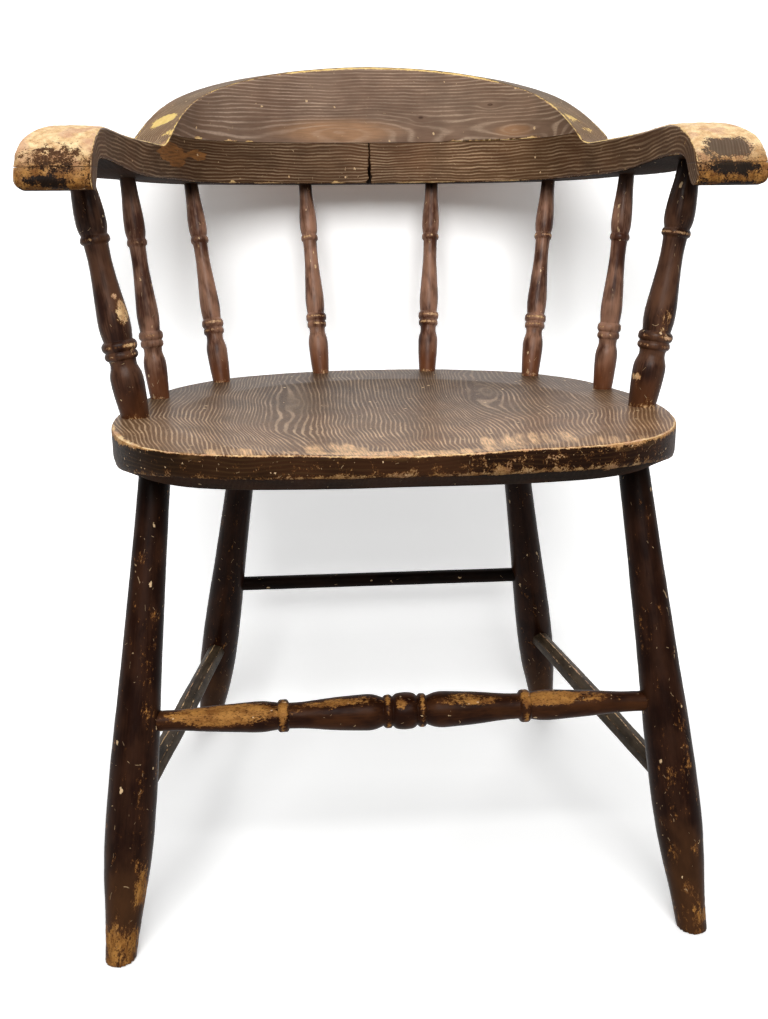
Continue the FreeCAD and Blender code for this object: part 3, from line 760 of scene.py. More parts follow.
# turned pieces: a lathe in geometry nodes
def lathe_tree():
    """Turns a line of points with a radius each, stands it from foot to head, and keeps the place
    on the blank, before it was stood up, for the paint to follow."""
    tree = bpy.data.node_groups.new("lathe", "GeometryNodeTree")
    face = tree.interface
    face.new_socket("Geometry", in_out="INPUT", socket_type="NodeSocketGeometry")
    for label, kind in (("Foot", "Vector"), ("Head", "Vector"), ("Sides", "Int"), ("Unevenness", "Float"),
                        ("Unevenness size", "Float"), ("Seed", "Float"), ("Finish", "Material")):
        face.new_socket(label, in_out="INPUT", socket_type="NodeSocket" + kind)
    face.new_socket("Geometry", in_out="OUTPUT", socket_type="NodeSocketGeometry")
    w = Wiring(tree)
    given = w.node("NodeGroupInput").outputs
    done = w.node("NodeGroupOutput").inputs
    line = w.node("GeometryNodeMeshToCurve", {0: given["Geometry"]}).outputs[0]
    radius = w.node("GeometryNodeInputNamedAttribute", {"Name": "radius_here"}, data_type="FLOAT").outputs[0]
    circle = w.node("GeometryNodeCurvePrimitiveCircle", {"Resolution": given["Sides"], "Radius": 1.0})
    sized = w.node("GeometryNodeSetCurveRadius", {"Curve": line, "Radius": radius}).outputs[0]
    sweep = {"Curve": sized, "Profile Curve": circle.outputs[0], "Fill Caps": True}
    body = w.node("GeometryNodeCurveToMesh", sweep)
    if "Scale" in body.inputs:
        w.feed(body.inputs["Scale"], radius)
    where = w.node("GeometryNodeInputPosition").outputs[0]
    apart = w.xyz(given["Seed"], 0.0, 0.0)
    moved = w.vectors("ADD", where, apart)
    own = w.node("GeometryNodeStoreNamedAttribute", data_type="FLOAT_VECTOR")
    w.feed(own.inputs["Geometry"], body.outputs[0])
    w.feed(own.inputs["Name"], "turned")
    w.feed(own.inputs["Value"], moved)
    level = w.less(w.noise(w.cells(moved, given["Unevenness size"])), 1.0)
    outward = w.node("GeometryNodeInputNormal").outputs[0]
    push = w.grown(outward, w.times(level, given["Unevenness"]))
    shape = w.node("GeometryNodeSetPosition", {"Geometry": own.outputs[0], "Offset": push}).outputs[0]
    axis = w.vectors("SUBTRACT", given["Head"], given["Foot"])
    aim = w.node("FunctionNodeAlignRotationToVector", {"Vector": axis}, axis="Z").outputs[0]
    turn = {"Geometry": shape, "Translation": given["Foot"], "Rotation": aim}
    placed = w.node("GeometryNodeTransform", turn).outputs[0]
    real = w.node("GeometryNodeRealizeInstances", {0: placed}).outputs[0]
    finish = w.node("GeometryNodeSetMaterial", {"Geometry": real, "Material": given["Finish"]})
    w.feed(done[0], finish.outputs[0])
    return tree


LATHE = lathe_tree()
UNEVEN_SIZE = 0.022  # metres from one swell of the hand-turned surface to the next
LEAST_STEP = 0.05


def turned(name, segments, foot, head, material, sides, seed, uneven=0.35, step=1.2, wear=None):
    """segments are runs of (height, radius) in millimetres: two points are a straight, more a curve.
    wear gives the wear at a height."""
    heights, radii = [], []
    for seg in segments:
        count = max(3, int(abs(seg[-1][0] - seg[0][0]) / step) + 1)
        t = np.linspace(0, len(seg) - 1, count)
        line = smooth_line(seg) if len(seg) > 2 else None
        pts = line(t) if line else np.array(seg[0]) + (np.array(seg[1]) - np.array(seg[0])) * t[:, None]
        for h, r in pts:
            if not heights or h > heights[-1] + LEAST_STEP:
                heights.append(float(h))
                radii.append(float(r) * MM)
    mesh = bpy.data.meshes.new(name)
    mesh.from_pydata([(0, 0, h * MM) for h in heights], [(i, i + 1) for i in range(len(heights) - 1)], [])
    set_marks(mesh, {"radius_here": radii, "wear": [wear(h) if wear else 0.0 for h in heights]})
    blank = new_object(name + "_blank", mesh)
    mod = blank.modifiers.new("lathe", "NODES")
    mod.node_group = LATHE
    values = {"Foot": Vector(foot) * MM, "Head": Vector(head) * MM, "Sides": sides, "Unevenness": uneven * MM,
              "Unevenness size": UNEVEN_SIZE, "Seed": seed * 0.3, "Finish": material}
    for item in LATHE.interface.items_tree:
        if item.item_type == "SOCKET" and item.in_out == "INPUT" and item.name in values:
            mod[item.identifier] = values[item.name]
    blank.update_tag()
    made = bpy.data.meshes.new_from_object(blank.evaluated_get(bpy.context.evaluated_depsgraph_get()))
    made.name = name
    bpy.data.objects.remove(blank)
    made.shade_smooth()
    return new_object(name, made)


LEG_RADII = [(0, 12.6), (12, 13.0), (36, 14.4), (60, 16.6), (84, 19.0), (108, 20.4), (136, 20.8),
             (164, 20.5), (200, 19.5), (250, 17.6), (300, 16.1), (350, 14.8), (430, 13.3), (450, 13.0)]
LEG_LEAD = 14.0  # the turning starts this far below the floor, and is then cut off level
LEG_WEAR = 0.12
FOOT_WORN_UP_TO = 52.0
FOOT_ROUND = 2.2
FOOT_CUT = 0.2
RIGHT_LEG_WORN = (
    (244, -240, 73, (6, 16, 10), 0.3), (236, -246, 40, (6, 12, 7), 0.24), (226, -228, 62, (7, 16, 18), 0.24),
    (256, -246, 14, (8, 16, 10), 0.25), (228, -222, 150, (20, 20, 60), 0.1))
LEFT_LEG_WORN = (
    (-224, -232, 62, (6, 18, 30), 0.4), (-240, -252, 20, (20, 16, 14), 0.22),
    (-214, -200, 200, (6, 14, 40), 0.22), (-220, -212, 120, (10, 16, 22), 0.16),
    (-208, -186, 270, (6, 14, 40), 0.16))


def leg(name, ends, side, seed, foot_wear, worn=()):
    def wear(height):
        return foot_wear * float(ease(-height, -FOOT_WORN_UP_TO, -LEG_LEAD)) + LEG_WEAR

    foot, head = (flipped(p, side) for p in ends)
    profile = [(h - LEG_LEAD, r) for h, r in LEG_RADII]
    obj = turned(name + "_turned", [profile], foot, head, LEG_PAINT, sides=64, seed=seed, step=2.0,
                 uneven=0.7, wear=wear)
    cut_flat(obj, (0, 0, FOOT_CUT * MM), (0, 0, -1))
    cut_flat(obj, (0, 0, SEAT_BOTTOM * MM), (0, 0, 1))
    ease_cut(obj, FOOT_CUT, FOOT_ROUND)
    weather(obj, worn, rub_depth=0.3, seed=seed)
    piece(obj, name)


def legs():
    leg("leg_front_right", FRONT_LEG, 1, seed=1.0, foot_wear=0.2, worn=RIGHT_LEG_WORN)
    leg("leg_front_left", FRONT_LEG, -1, seed=2.0, foot_wear=0.4, worn=LEFT_LEG_WORN)
    leg("leg_rear_right", REAR_LEG, 1, seed=3.0, foot_wear=0.2)
    leg("leg_rear_left", REAR_LEG, -1, seed=4.0, foot_wear=0.2)


def faceted(obj, a, b, flats, depth, wear_up):
    """Leaves the flats of a drawknife along a round rod, with the ridges on top rubbed pale."""
    a, d = Vector(a) * MM, (Vector(b) - Vector(a)).normalized()
    first = d.orthogonal().normalized()
    second = d.cross(first)
    wear = mark_values(obj.data, "wear")
    for v in obj.data.vertices:
        away = v.co - a
        out = away - d * away.dot(d)
        turn = math.atan2(out.dot(second), out.dot(first)) + 0.35 * noise.noise(v.co * 9)
        part = (turn * flats / math.tau) % 1.0
        flat = math.cos(math.pi / flats) / math.cos((part - 0.5) * math.tau / flats)
        v.co -= out * (1 - flat) * depth
        ridge = abs(part - 0.5) * 2
        wear[v.index] += wear_up * max(out.normalized().z, 0) * ridge ** 5
    set_marks(obj.data, {"wear": wear})


RING_OUT = 103.0  # the single rings of the front stretcher, from its middle
RING_IN = 14.5  # the pair of rings beside its barrel
FRONT_WORN = (
    (-154, -198, 197, (58, 14, 10), 0.85), (-60, -197, 204, (46, 9, 7), 0.6), (-4, -201, 202, (6, 7, 6), 0.7),
    (60, -198, 203, (44, 9, 7), 0.62), (120, -197, 201, (22, 11, 8), 0.8), (152, -197, 199, (44, 9, 6), 0.55),
    (0, -192, 176, (150, 10, 4), 0.15))


def front_stretcher():
    right = between(*FRONT_LEG, FRONT_STRETCHER_Z)
    a, b = trimmed(flipped(right, -1), right, STRETCHER_CLEAR)
    half = distance(a, b) / 2
    # distances from its middle and radii, from either end to the middle
    from_end = [
        [(half, 9.2), (half - 36, 9.2), (165.0, 10.8), (134.0, 12.7), (120.0, 13.1), (108.0, 11.6)],
        [(108.0, 11.6), (106.5, 13.6), (RING_OUT, 14.2), (99.5, 13.6), (98.0, 11.0)],
        [(98.0, 11.0), (88.0, 11.3), (62.0, 13.8), (38.0, 15.3), (26.0, 14.9), (18.5, 12.2)],
        [(18.5, 12.2), (17.0, 14.0), (RING_IN, 14.6), (12.0, 14.0), (10.5, 12.4)],
        [(10.5, 12.4), (8.0, 14.6), (4.0, 15.6), (0.0, 15.9)],
    ]
    runs = [[(half - x, r) for x, r in seg] for seg in from_end]
    runs += [[(half + x, r) for x, r in reversed(seg)] for seg in reversed(from_end)]

    def ring_wear(h):
        x = abs(h - half)
        return 0.55 * math.exp(-((x - RING_OUT) / 3.2) ** 2) + 0.48 * math.exp(-((x - RING_IN) / 2.2) ** 2)

    obj = turned("stretcher_front_turned", runs, a, b, STRETCHER_PAINT, sides=56, seed=5.0, step=1.0,
                 wear=ring_wear)
    weather(obj, FRONT_WORN, seed=5.0)
    piece(obj, "stretcher_front")


def rear_stretcher():
    right = between(*REAR_LEG, REAR_STRETCHER_Z)
    a, b = trimmed(flipped(right, -1), right, STRETCHER_CLEAR)
    long = distance(a, b)
    obj = turned("stretcher_rear_turned", [[(0, 8.0), (long, 8.0)]], a, b, REAR_ROD_PAINT, sides=32, seed=6.0)
    weather(obj)
    piece(obj, "stretcher_rear")


def side_stretchers():
    front = between(*FRONT_LEG, SIDE_STRETCHER_Z)
    rear = between(*REAR_LEG, SIDE_STRETCHER_Z)
    for side, name in ((1, "stretcher_right"), (-1, "stretcher_left")):
        a, b = trimmed(flipped(front, side), flipped(rear, side), STRETCHER_CLEAR)
        long = distance(a, b)
        run = [(0, 9.2), (40, 9.3), (long / 2, 10.4), (long - 40, 9.8), (long, 9.8)]
        obj = turned(name + "_turned", [run], a, b, ROD_PAINT, sides=63, seed=6.5 + side, uneven=0.5)
        faceted(obj, a, b, flats=7, depth=0.8, wear_up=0.85)
        weather(obj, rub_depth=0.2)
        piece(obj, name)


# turned uprights
SPINDLE_BASES = {"inner": (60.0, 174.0), "middle": (166.0, 119.0), "outer": (217.5, 16.0)}
SPINDLE_TOPS = {"inner": (71.5, 233.0), "middle": (193.0, 177.0), "outer": (236.0, 30.0)}
POST_BASE = (225.0, -87.0, SEAT_TOP)
POST_TOP = (258.0, -81.0, POST_TOP_Z)
POST_SIZE = 1.32  # the radii of an arm post as a multiple of those of a spindle
RING_SHARES = (0.254, 0.292, 0.713)  # where the rings are along an upright
RING_WIDTH = 0.0075  # how far from its middle a ring is rubbed
RING_WEAR = {
    "inner_left": (0.36, 0.44, 0.36), "inner_right": (0.4, 0.46, 0.32), "middle_left": (0.3, 0.42, 0.28),
    "middle_right": (0.4, 0.46, 0.46), "outer_left": (0.24, 0.26, 0.24), "outer_right": (0.26, 0.3, 0.16),
    "post_left": (0.28, 0.32, 0.26), "post_right": (0.34, 0.34, 0.56)}
END_HIDDEN = 6.0  # the turning runs this far past the seat and the bow


def upright_runs(long, k):
    """The turning of a spindle as shares of its length, with k to make it thicker."""
    runs = [
        [(0.0, 9.2), (0.05, 10.0), (0.135, 10.9), (0.185, 10.2), (0.213, 8.8), (0.235, 9.0)],
        [(0.235, 9.0), (0.243, 10.6), (0.254, 11.0), (0.265, 10.5), (0.27, 9.9)],
        [(0.27, 9.9), (0.278, 11.2), (0.292, 11.7), (0.306, 11.0), (0.314, 9.5)],
        [(0.314, 9.5), (0.33, 9.9), (0.375, 10.5), (0.44, 9.9), (0.54, 8.4), (0.64, 7.6), (0.695, 7.9)],
        [(0.695, 7.9), (0.702, 9.2), (0.713, 9.7), (0.724, 9.2), (0.731, 8.4)],
        [(0.731, 8.4), (0.75, 9.3), (0.79, 9.8), (0.84, 9.4), (0.92, 8.0), (1.0, 7.4)],
    ]
    runs = [[(s * long, r * k) for s, r in run] for run in runs]
    runs[0].insert(0, (-END_HIDDEN, 9.2 * k - 0.6))
    runs[-1].append((long + END_HIDDEN, 7.3 * k))
    return runs


def upright(name, kind, a, b, k, paint, sides, seed, worn=()):
    long = distance(a, b)
    rings = RING_WEAR[kind]

    def wear(h):
        s = h / long
        at_rings = sum(amount * math.exp(-((s - share) / RING_WIDTH) ** 4)
                       for share, amount in zip(RING_SHARES, rings))
        return 0.1 + at_rings + 0.3 * float(ease(-h, -5, 1))

    obj = turned(name + "_turned", upright_runs(long, k), a, b, paint, sides=sides, seed=seed, step=0.8,
                 wear=wear)
    weather(obj, worn, rub_depth=0.3, seed=seed)
    piece(obj, name)


POST_WORN = {
    "right": ((240, -98, 504, (12, 8, 16), 0.25), (232, -98, 433, (14, 8, 5), 0.2),
              (216, -92, 457, (5, 6, 4), 0.5)),
    "left": ((-228, -93, 521, (6, 10, 12), 0.6), (-234, -96, 534, (3, 6, 3), 0.5),
             (-226, -92, 491, (5, 10, 5), 0.4), (-252, -92, 592, (8, 8, 18), 0.16))}


def uprights():
    hands = ((1, "right"), (-1, "left"))
    for side, word in hands:
        for i, kind in enumerate(SPINDLE_BASES):
            a = flipped((*SPINDLE_BASES[kind], SEAT_TOP), side)
            b = flipped((*SPINDLE_TOPS[kind], RAIL_BOTTOM), side)
            upright(f"spindle_{kind}_{word}", f"{kind}_{word}", a, b, 1.0, SPINDLE_PAINT, sides=44,
                    seed=10.0 + 2 * i + side)
    for side, word in hands:
        upright(f"arm_post_{word}", f"post_{word}", flipped(POST_BASE, side), flipped(POST_TOP, side),
                POST_SIZE, POST_PAINT, sides=56, seed=20.0 + side, worn=POST_WORN[word])


# seat
OUTLINE = [
    (0.0, SEAT_FRONT), (75.0, SEAT_FRONT + 1.0), (125.0, SEAT_FRONT + 6.5), (165.0, SEAT_FRONT + 18.0),
    (198.0, SEAT_FRONT + 42.0), (222.0, SEAT_FRONT + 78.0), (237.0, SEAT_FRONT + 124.0), (SEAT_HALF, -85.0),
    (240.0, -35.0), (230.5, 14.0), (213.0, 75.0), (187.0, 118.0), (160.0, 145.0), (118.0, 168.5),
    (68.0, 184.5), (0.0, SEAT_BACK)]
SEAT_AROUND = 400  # points round the plank
SEAT_ROUND = 2.4  # radius of the eased upper edge
SEAT_TUCK = 1.2  # how far the edge draws in at its foot
DISH_HALF_WIDTH = 195.0
DISH_HALF_LENGTH = 196.0
DISH_CENTRE_Y = -82.0
DISH_ROUND = 60.0
DISH_DEPTH = 13.0
# the rings of the plank: shares of the way out over its top, angles round its upper edge, shares
# of the way down its edge and in over its bevel, and shares of the way out underneath
TOP_AT = np.concatenate([[0.012], np.linspace(0.03, 0.95, 80), np.linspace(0.96, 1.0, 8)])
ROUND_AT = np.radians([15, 30, 45, 60, 75, 90])
EDGE_AT = np.linspace(0.06, 1.0, 15)
BEVEL_AT = np.linspace(0.03, 1.0, 18)
UNDER_AT = np.linspace(0.97, 0.05, 24)
EDGE_STARTS = 0.785  # the angle round the upper edge at which the top ends
# about how far the paint's own measure runs: over the bevel, to where the flat underside starts,
# and from an edge to the middle
BEVEL_REACH = 32
UNDER_REACH = 90.0
MIDDLE_REACH = 200.0
SEAT_WORN = (
    (67, -264, 414, (8, 6, 4), 0.4), (150, -244, 413, (5, 8, 8), 0.35), (-8, -264, 414, (11, 5, 4), 0.35),
    (-156, -256, 414, (7, 8, 4), 0.25), (-60, -264, 413, (40, 5, 2.5), 0.25),
    (110, -256, 424, (10, 8, 5), 0.16), (-225, -176, 428, (9, 22, 3), 0.25),
    (0, -250, 430, (60, 16, 6), 0.12))
# the place at the middle of the front edge is a painted sheen; the others are rubbed paint
SEAT_RUBBED_AND_SHEEN = (
    (-56, -216, 426, (26, 42, 20), 0.66), (96, -206, 426, (44, 52, 20), 0.56),
    (6, -246, 428, (60, 24, 8), 0.78), (-140, -246, 428, (90, 16, 8), 0.4),
    (170, -236, 428, (60, 20, 8), 0.35))
TOP, EDGE, UNDERSIDE = range(3)


def saddle_depth(x, y):
    """How far the sat-in hollow lies under the flat of the seat."""
    out = np.minimum(np.hypot(x / DISH_HALF_WIDTH, (y - DISH_CENTRE_Y) / DISH_HALF_LENGTH), 1)
    rim = 1 - DISH_DEPTH / DISH_ROUND
    share = math.sqrt(1 - rim ** 2)
    return DISH_ROUND * (np.sqrt(1 - (share * out) ** 2) - rim)


def seat_outline():
    """Points evenly round the edge, the way out from each, and the length walked to each."""
    ring = OUTLINE + [(-x, y) for x, y in reversed(OUTLINE[1:-1])]
    line = smooth_line(ring, closed=True)
    edge = line(evenly(line, 0, len(ring), SEAT_AROUND + 1)[:-1])
    run = walked(edge)
    tangent = np.roll(edge, -1, axis=0) - np.roll(edge, 1, axis=0)
    tangent /= np.linalg.norm(tangent, axis=1)[:, None]
    out = np.column_stack([tangent[:, 1], -tangent[:, 0]])
    out *= np.sign(np.sum(out * (edge - seat_middle()), axis=1))[:, None]
    return edge, out, run


def seat_middle():
    return np.array([0.0, (SEAT_FRONT + SEAT_BACK) / 2])


def seat_rows(edge, out):
    """Rings of the plank from the middle of its top, over the edge, to the middle underneath, with
    the distance of each point from the upper edge, the face that each ring lies on, and the
    distance of the lower edge."""
    mid = seat_middle()
    half = np.array([SEAT_HALF, (SEAT_BACK - SEAT_FRONT) / 2])
    low_z = SEAT_TOP - SEAT_EDGE_FRONT - (SEAT_EDGE_SIDE - SEAT_EDGE_FRONT) * ease(
        edge[:, 1] - SEAT_FRONT, 0, SEAT_EDGE_EASED_BY)
    rows, reach, faces = [], [], []

    def row(flat, z, from_edge, face):
        rows.append(np.column_stack([flat, np.broadcast_to(z, SEAT_AROUND)]))
        reach.append(np.broadcast_to(from_edge, SEAT_AROUND))
        faces.append(face)

    for f in TOP_AT:
        flat = mid + (edge - out * SEAT_ROUND - mid) * f
        row(flat, SEAT_TOP - saddle_depth(flat[:, 0], flat[:, 1]), (f - 1) * MIDDLE_REACH - SEAT_ROUND, TOP)
    top_z = rows[-1][:, 2]
    for a in ROUND_AT:
        row(edge - out * SEAT_ROUND * (1 - math.sin(a)), top_z - SEAT_ROUND * (1 - math.cos(a)),
            SEAT_ROUND * (a / EDGE_STARTS - 1), TOP if a < EDGE_STARTS + 0.01 else EDGE)
    tall = top_z - SEAT_ROUND - low_z
    for t in EDGE_AT:
        tucked = edge - out * SEAT_TUCK * ease(t, 0.8, 1.05)
        row(tucked, top_z - SEAT_ROUND - tall * t, SEAT_ROUND + tall * t, EDGE)
    for t in BEVEL_AT:
        inset = np.array([SEAT_BEVEL_SIDE, SEAT_BEVEL_FRONT]) / half * t
        flat = mid + (edge - out * SEAT_TUCK - mid) * (1 - inset)
        row(flat, low_z + (SEAT_BOTTOM - low_z) * t, SEAT_ROUND + tall + BEVEL_REACH * t, UNDERSIDE)
    low = rows[-1][:, :2]
    for f in UNDER_AT:
        row(mid + (low - mid) * f, SEAT_BOTTOM, UNDER_REACH + MIDDLE_REACH * (1 - f), UNDERSIDE)
    return np.array(rows), np.array(reach), faces, SEAT_ROUND + tall


def seat():
    edge, out, run = seat_outline()
    rings, reach, faces, lower = seat_rows(edge, out)
    x, y = rings[..., 0], rings[..., 1]
    along = np.broadcast_to(run, reach.shape)
    way = np.stack([along, reach, np.zeros_like(reach)], axis=-1) * MM
    # the front edge is the most worn, and on it the left and right corners
    corner = window(x, -252, -196, 12) * window(y, -215, -120, 16)
    corner += 0.6 * window(x, 150, 250, 12) * window(y, -262, -130, 14)
    front = ease(-y, -40, 120)
    wear = (0.3 + 0.36 * front + 0.3 * corner) * np.exp(-(reach / (1.6 + 2.2 * corner)) ** 2)
    wear += (0.08 + 0.18 * front) * np.exp(-((reach - lower) / 2.4) ** 2)
    wear += 0.15 * front * window(reach, 3, 40, 2)
    wear += 0.13 * window(x, 20, 190, 24) * front * window(reach, 2, 22, 3)
    zones = np.repeat(np.array(faces)[1:, None], SEAT_AROUND, axis=1)
    obj = skin("seat_plank", rings, {"way": way, "wear": wear, "rub_and_sheen": np.zeros(reach.size)}, zones,
               [SEAT_TOP_FACE, SEAT_EDGE_FACE, SEAT_UNDER_FACE], cap_zone=TOP)
    weather(obj, SEAT_WORN, SEAT_RUBBED_AND_SHEEN, waves=0.35, seed=31.0)
    obj.data.polygons[-1].material_index = UNDERSIDE
    piece(obj, "seat")


# the bow: arm rails with rolled ends, and the crest over the back
INNER_BACK = 213.0
OUTER_BACK = 264.0
INNER = [
    (0.0, INNER_BACK), (68.0, 208.0), (132.0, 188.5), (173.0, 160.0), (197.0, 98.0), (210.0, 28.0),
    (222.5, -45.0), (228.0, -110.0), (228.5, -190.0)]
OUTER = [
    (0.0, OUTER_BACK), (74.0, 259.0), (148.0, 236.0), (208.5, 196.0), (244.0, 119.0), (262.5, 33.0),
    (279.0, -42.0), (286.5, -110.0), (287.0, -190.0)]
# heights of the arm over y, and the rolled end as y and z
ARM_DIP = [(RAMP_FOOT_Y, ARM_LOW), (0.0, ARM_LOW + 0.3), (-52.0, 666.0), (-100.0, 667.5), (-112.0, 667.3)]
ARM_UNDER = [
    (280.0, RAIL_BOTTOM), (140.0, RAIL_BOTTOM), (60.0, RAIL_BOTTOM), (5.0, RAIL_BOTTOM), (-35.0, 636.0),
    (-85.0, 640.5), (-112.0, 641.5)]
ROLL_TOP = [
    (-110.0, 667.3), (-128.0, 665.5), (-148.0, 659.0), (-166.0, 648.0), (-176.0, 637.0), (-182.0, 624.0),
    (-181.0, 619.0), (-177.5, 616.6)]
ROLL_UNDER = [
    (-110.0, 641.4), (-122.0, 641.5), (-140.0, 640.5), (-151.0, 636.5), (-158.0, 628.0), (-165.5, 619.0),
    (-168.5, 617.0), (-172.0, 616.2)]
# heights over y - x, which runs back along the bow as it turns
RAMP = [(-152.0, ARM_LOW), (-138.0, 666.0), (-128.0, 669.0), (-120.0, 672.7), (-114.0, RAIL_TOP)]
CREST_RUN = [
    (280.0, CREST_TOP), (235.0, CREST_TOP - 0.3), (180.0, CREST_TOP - 2.0), (118.0, CREST_TOP - 7.5),
    (40.0, CREST_TOP - 21.5), (-26.0, CREST_TOP - 40.0), (-75.0, CREST_TOP - 60.0),
    (-102.0, CREST_TOP - 73.0), (-114.0, RAIL_TOP), (-118.0, RAIL_TOP - 2.4)]
CREST_END = -117.5
inner_plan = smooth_line(INNER, start=(1, 0), end=(0, -1))
outer_plan = smooth_line(OUTER, start=(1, 0), end=(0, -1))
ROLL_START = 7  # the point of INNER and OUTER at which the arm starts to roll
ROLL_START_Y = -110.0
ROLL_INNER_X = 228.0
ROLL_OUTER_X = 286.5
ROLL_OUTWARD = 0.5 / 80.0  # how far it runs outwards for each millimetre forwards
ARM_RINGS = 210
ROLL_RINGS = 70
NOSE_ROUND = 6.8
NOSE_FACE_X = 286.4
ARM_ROUND = 24.0  # radius of the outer top of the arm
ARM_ROUND_LINE = ((263.0, -200.0, 643.5), (249.0, 40.0, 649.0))
ARM_ROUND_FROM_Y = 60.0
ARM_FREE = (96, 130)  # x - y between which the bow comes out from under the crest
ARM_HANDLED = (-40, 100)  # -y between which it is rounder from use
# points along each side of the bar, and round the corner after it
SIDES = ((26, 6), (34, 9), (20, 6), (26, 6))
INNER_LOW, INNER_TOP, OUTER_TOP, OUTER_LOW = range(4)
FRONT_FACE, TOP_FACE, BACK_FACE, UNDER_FACE, BACK_TOP_FACE = range(5)


def inner_run(number):
    """Length along the inner line of the bow, from the centre of the back."""
    fine = np.linspace(0, len(INNER) - 1, 3000)
    return np.interp(number, fine, walked(inner_plan(fine)))


def section(corners, radii, crown):
    """A ring round a bar: up the inner face, over the top, down the outer face, back underneath.
    corners are inner low, inner top, outer top, outer low; radii are theirs."""
    c = [np.array(p, float) for p in corners]
    ring = []
    out = (c[1] + c[2] - c[0] - c[3]) / 2
    out /= np.linalg.norm(out)
    reach = []
    for i in range(4):
        prev, here, nxt = c[i - 1], c[i], c[(i + 1) % 4]
        back = (prev - here) / max(np.linalg.norm(prev - here), 1e-6)
        on = (nxt - here) / max(np.linalg.norm(nxt - here), 1e-6)
        r = min(radii[i], 0.45 * np.linalg.norm(prev - here), 0.45 * np.linalg.norm(nxt - here))
        reach.append((back, on, r))
    for side, (n_side, n_corner) in enumerate(SIDES):
        k = (side + 1) % 4
        a = c[side] + reach[side][1] * reach[side][2]
        b = c[k] + reach[k][0] * reach[k][2]
        t = np.linspace(0, 1, n_side, endpoint=False)[:, None]
        ring.append(a + (b - a) * t + (out * crown * np.sin(np.pi * t) if side == 1 else 0))
        back, on, r = reach[k]
        ang = np.linspace(0, np.pi / 2, n_corner, endpoint=False)[:, None]
        ring.append(c[k] + back * r * (1 - np.sin(ang)) + on * r * (1 - np.cos(ang)))
    return np.vstack(ring)


def section_zones():
    """The face that each strip of the ring belongs to, and the ring number of each corner."""
    zones, corners, number = [], {}, 0
    for side, (n_side, n_corner) in enumerate(SIDES):
        k = (side + 1) % 4
        zones += [side] * (n_side + n_corner // 2) + [k] * (n_corner - n_corner // 2)
        number += n_side + n_corner
        corners[k] = number - n_corner / 2
    return zones, corners


ZONES, CORNERS = section_zones()


def around_ring(rings):
    """Length round each ring from the inner lower corner, and the distance from each corner."""
    steps = np.linalg.norm(np.roll(rings, -1, axis=1) - rings, axis=2)
    whole = steps.sum(axis=1)[:, None]
    run = np.cumsum(steps, axis=1) - steps
    apart = {}
    for corner, number in CORNERS.items():
        i = min(int(number), run.shape[1] - 1)
        d = np.abs(run - run[:, i:i + 1])
        apart[corner] = np.minimum(d, whole - d)
    return run, apart


def soften_corner(ring):
    """Rounds the outer top corner of the arm about a line, most at the rolled end."""
    (front_x, front_y, front_z), (rear_x, rear_y, rear_z) = ARM_ROUND_LINE
    back = ring[:, 1] - front_y
    cx = front_x + (rear_x - front_x) * back / (rear_y - front_y)
    cz = front_z + (rear_z - front_z) * back / (rear_y - front_y)
    dx, dz = ring[:, 0] - cx, ring[:, 2] - cz
    far = np.hypot(dx, dz)
    over = (dx > 0) & (dz > 0) & (far > ARM_ROUND)
    ring[over, 0] = cx[over] + ARM_ROUND * dx[over] / far[over]
    ring[over, 2] = cz[over] + ARM_ROUND * dz[over] / far[over]
    return ring


def arm_rings():
    """Rings of the right half of the bow from the centre of the back to the tip of its nose, and
    the length walked to each."""
    dip, under, ramp = height_of(ARM_DIP), height_of(ARM_UNDER), height_of(RAMP)
    rings, along = [], []
    for w in evenly(lambda n: (inner_plan(n) + outer_plan(n)) / 2, 0, ROLL_START, ARM_RINGS):
        (xi, yi), (xo, yo) = inner_plan(w)[0], outer_plan(w)[0]
        corners = [(xi, yi, under(yi)), (xi, yi, RAIL_TOP), (xo, yo, RAIL_TOP), (xo, yo, under(yo))]
        free = float(ease(xi - yi, *ARM_FREE))
        worn = float(ease(-yi, *ARM_HANDLED))
        radii = (1.8, 0.5 + 2.2 * free + 1.5 * worn, 0.6 + 3 * free + 2 * worn, 2.6)
        ring = section(corners, radii, 0.8 * worn)
        low = under(ring[:, 1])
        top = np.where(ring[:, 1] < RAMP_FOOT_Y, dip(ring[:, 1]), ramp(ring[:, 1] - ring[:, 0]))
        ring[:, 2] = low + (ring[:, 2] - low) * (top - low) / (RAIL_TOP - low)
        rings.append(soften_corner(ring) if yo < ARM_ROUND_FROM_Y else ring)
        along.append(float(inner_run(w)))
    arm_length = along[-1]
    last = len(ROLL_TOP) - 1
    t_line, b_line = smooth_line(ROLL_TOP, start=(-1, 0)), smooth_line(ROLL_UNDER)
    stops = evenly(t_line, 0, last, ROLL_RINGS)
    for w, far in zip(stops[1:], walked(t_line(stops))[1:]):
        (ty, tz), (by, bz) = t_line(w)[0], b_line(w)[0]
        t_out, b_out = (ROLL_OUTWARD * (ROLL_START_Y - y) for y in (ty, by))
        corners = [(ROLL_INNER_X + b_out, by, bz), (ROLL_INNER_X + t_out, ty, tz),
                   (ROLL_OUTER_X + t_out, ty, tz), (ROLL_OUTER_X + b_out, by, bz)]
        ring = soften_corner(section(corners, (1.8, 3.6, 5.5, 3.6), 0.8 * (1 - w / last)))
        past = np.clip((ring[:, 0] - NOSE_FACE_X + NOSE_ROUND) / NOSE_ROUND, 0, 0.96)
        ring[:, 2] += NOSE_ROUND * (1 - np.sqrt(1 - past ** 2)) * float(ease(w, last / 2, last))
        rings.append(ring)
        along.append(arm_length + far)
    return np.array(rings), np.array(along)


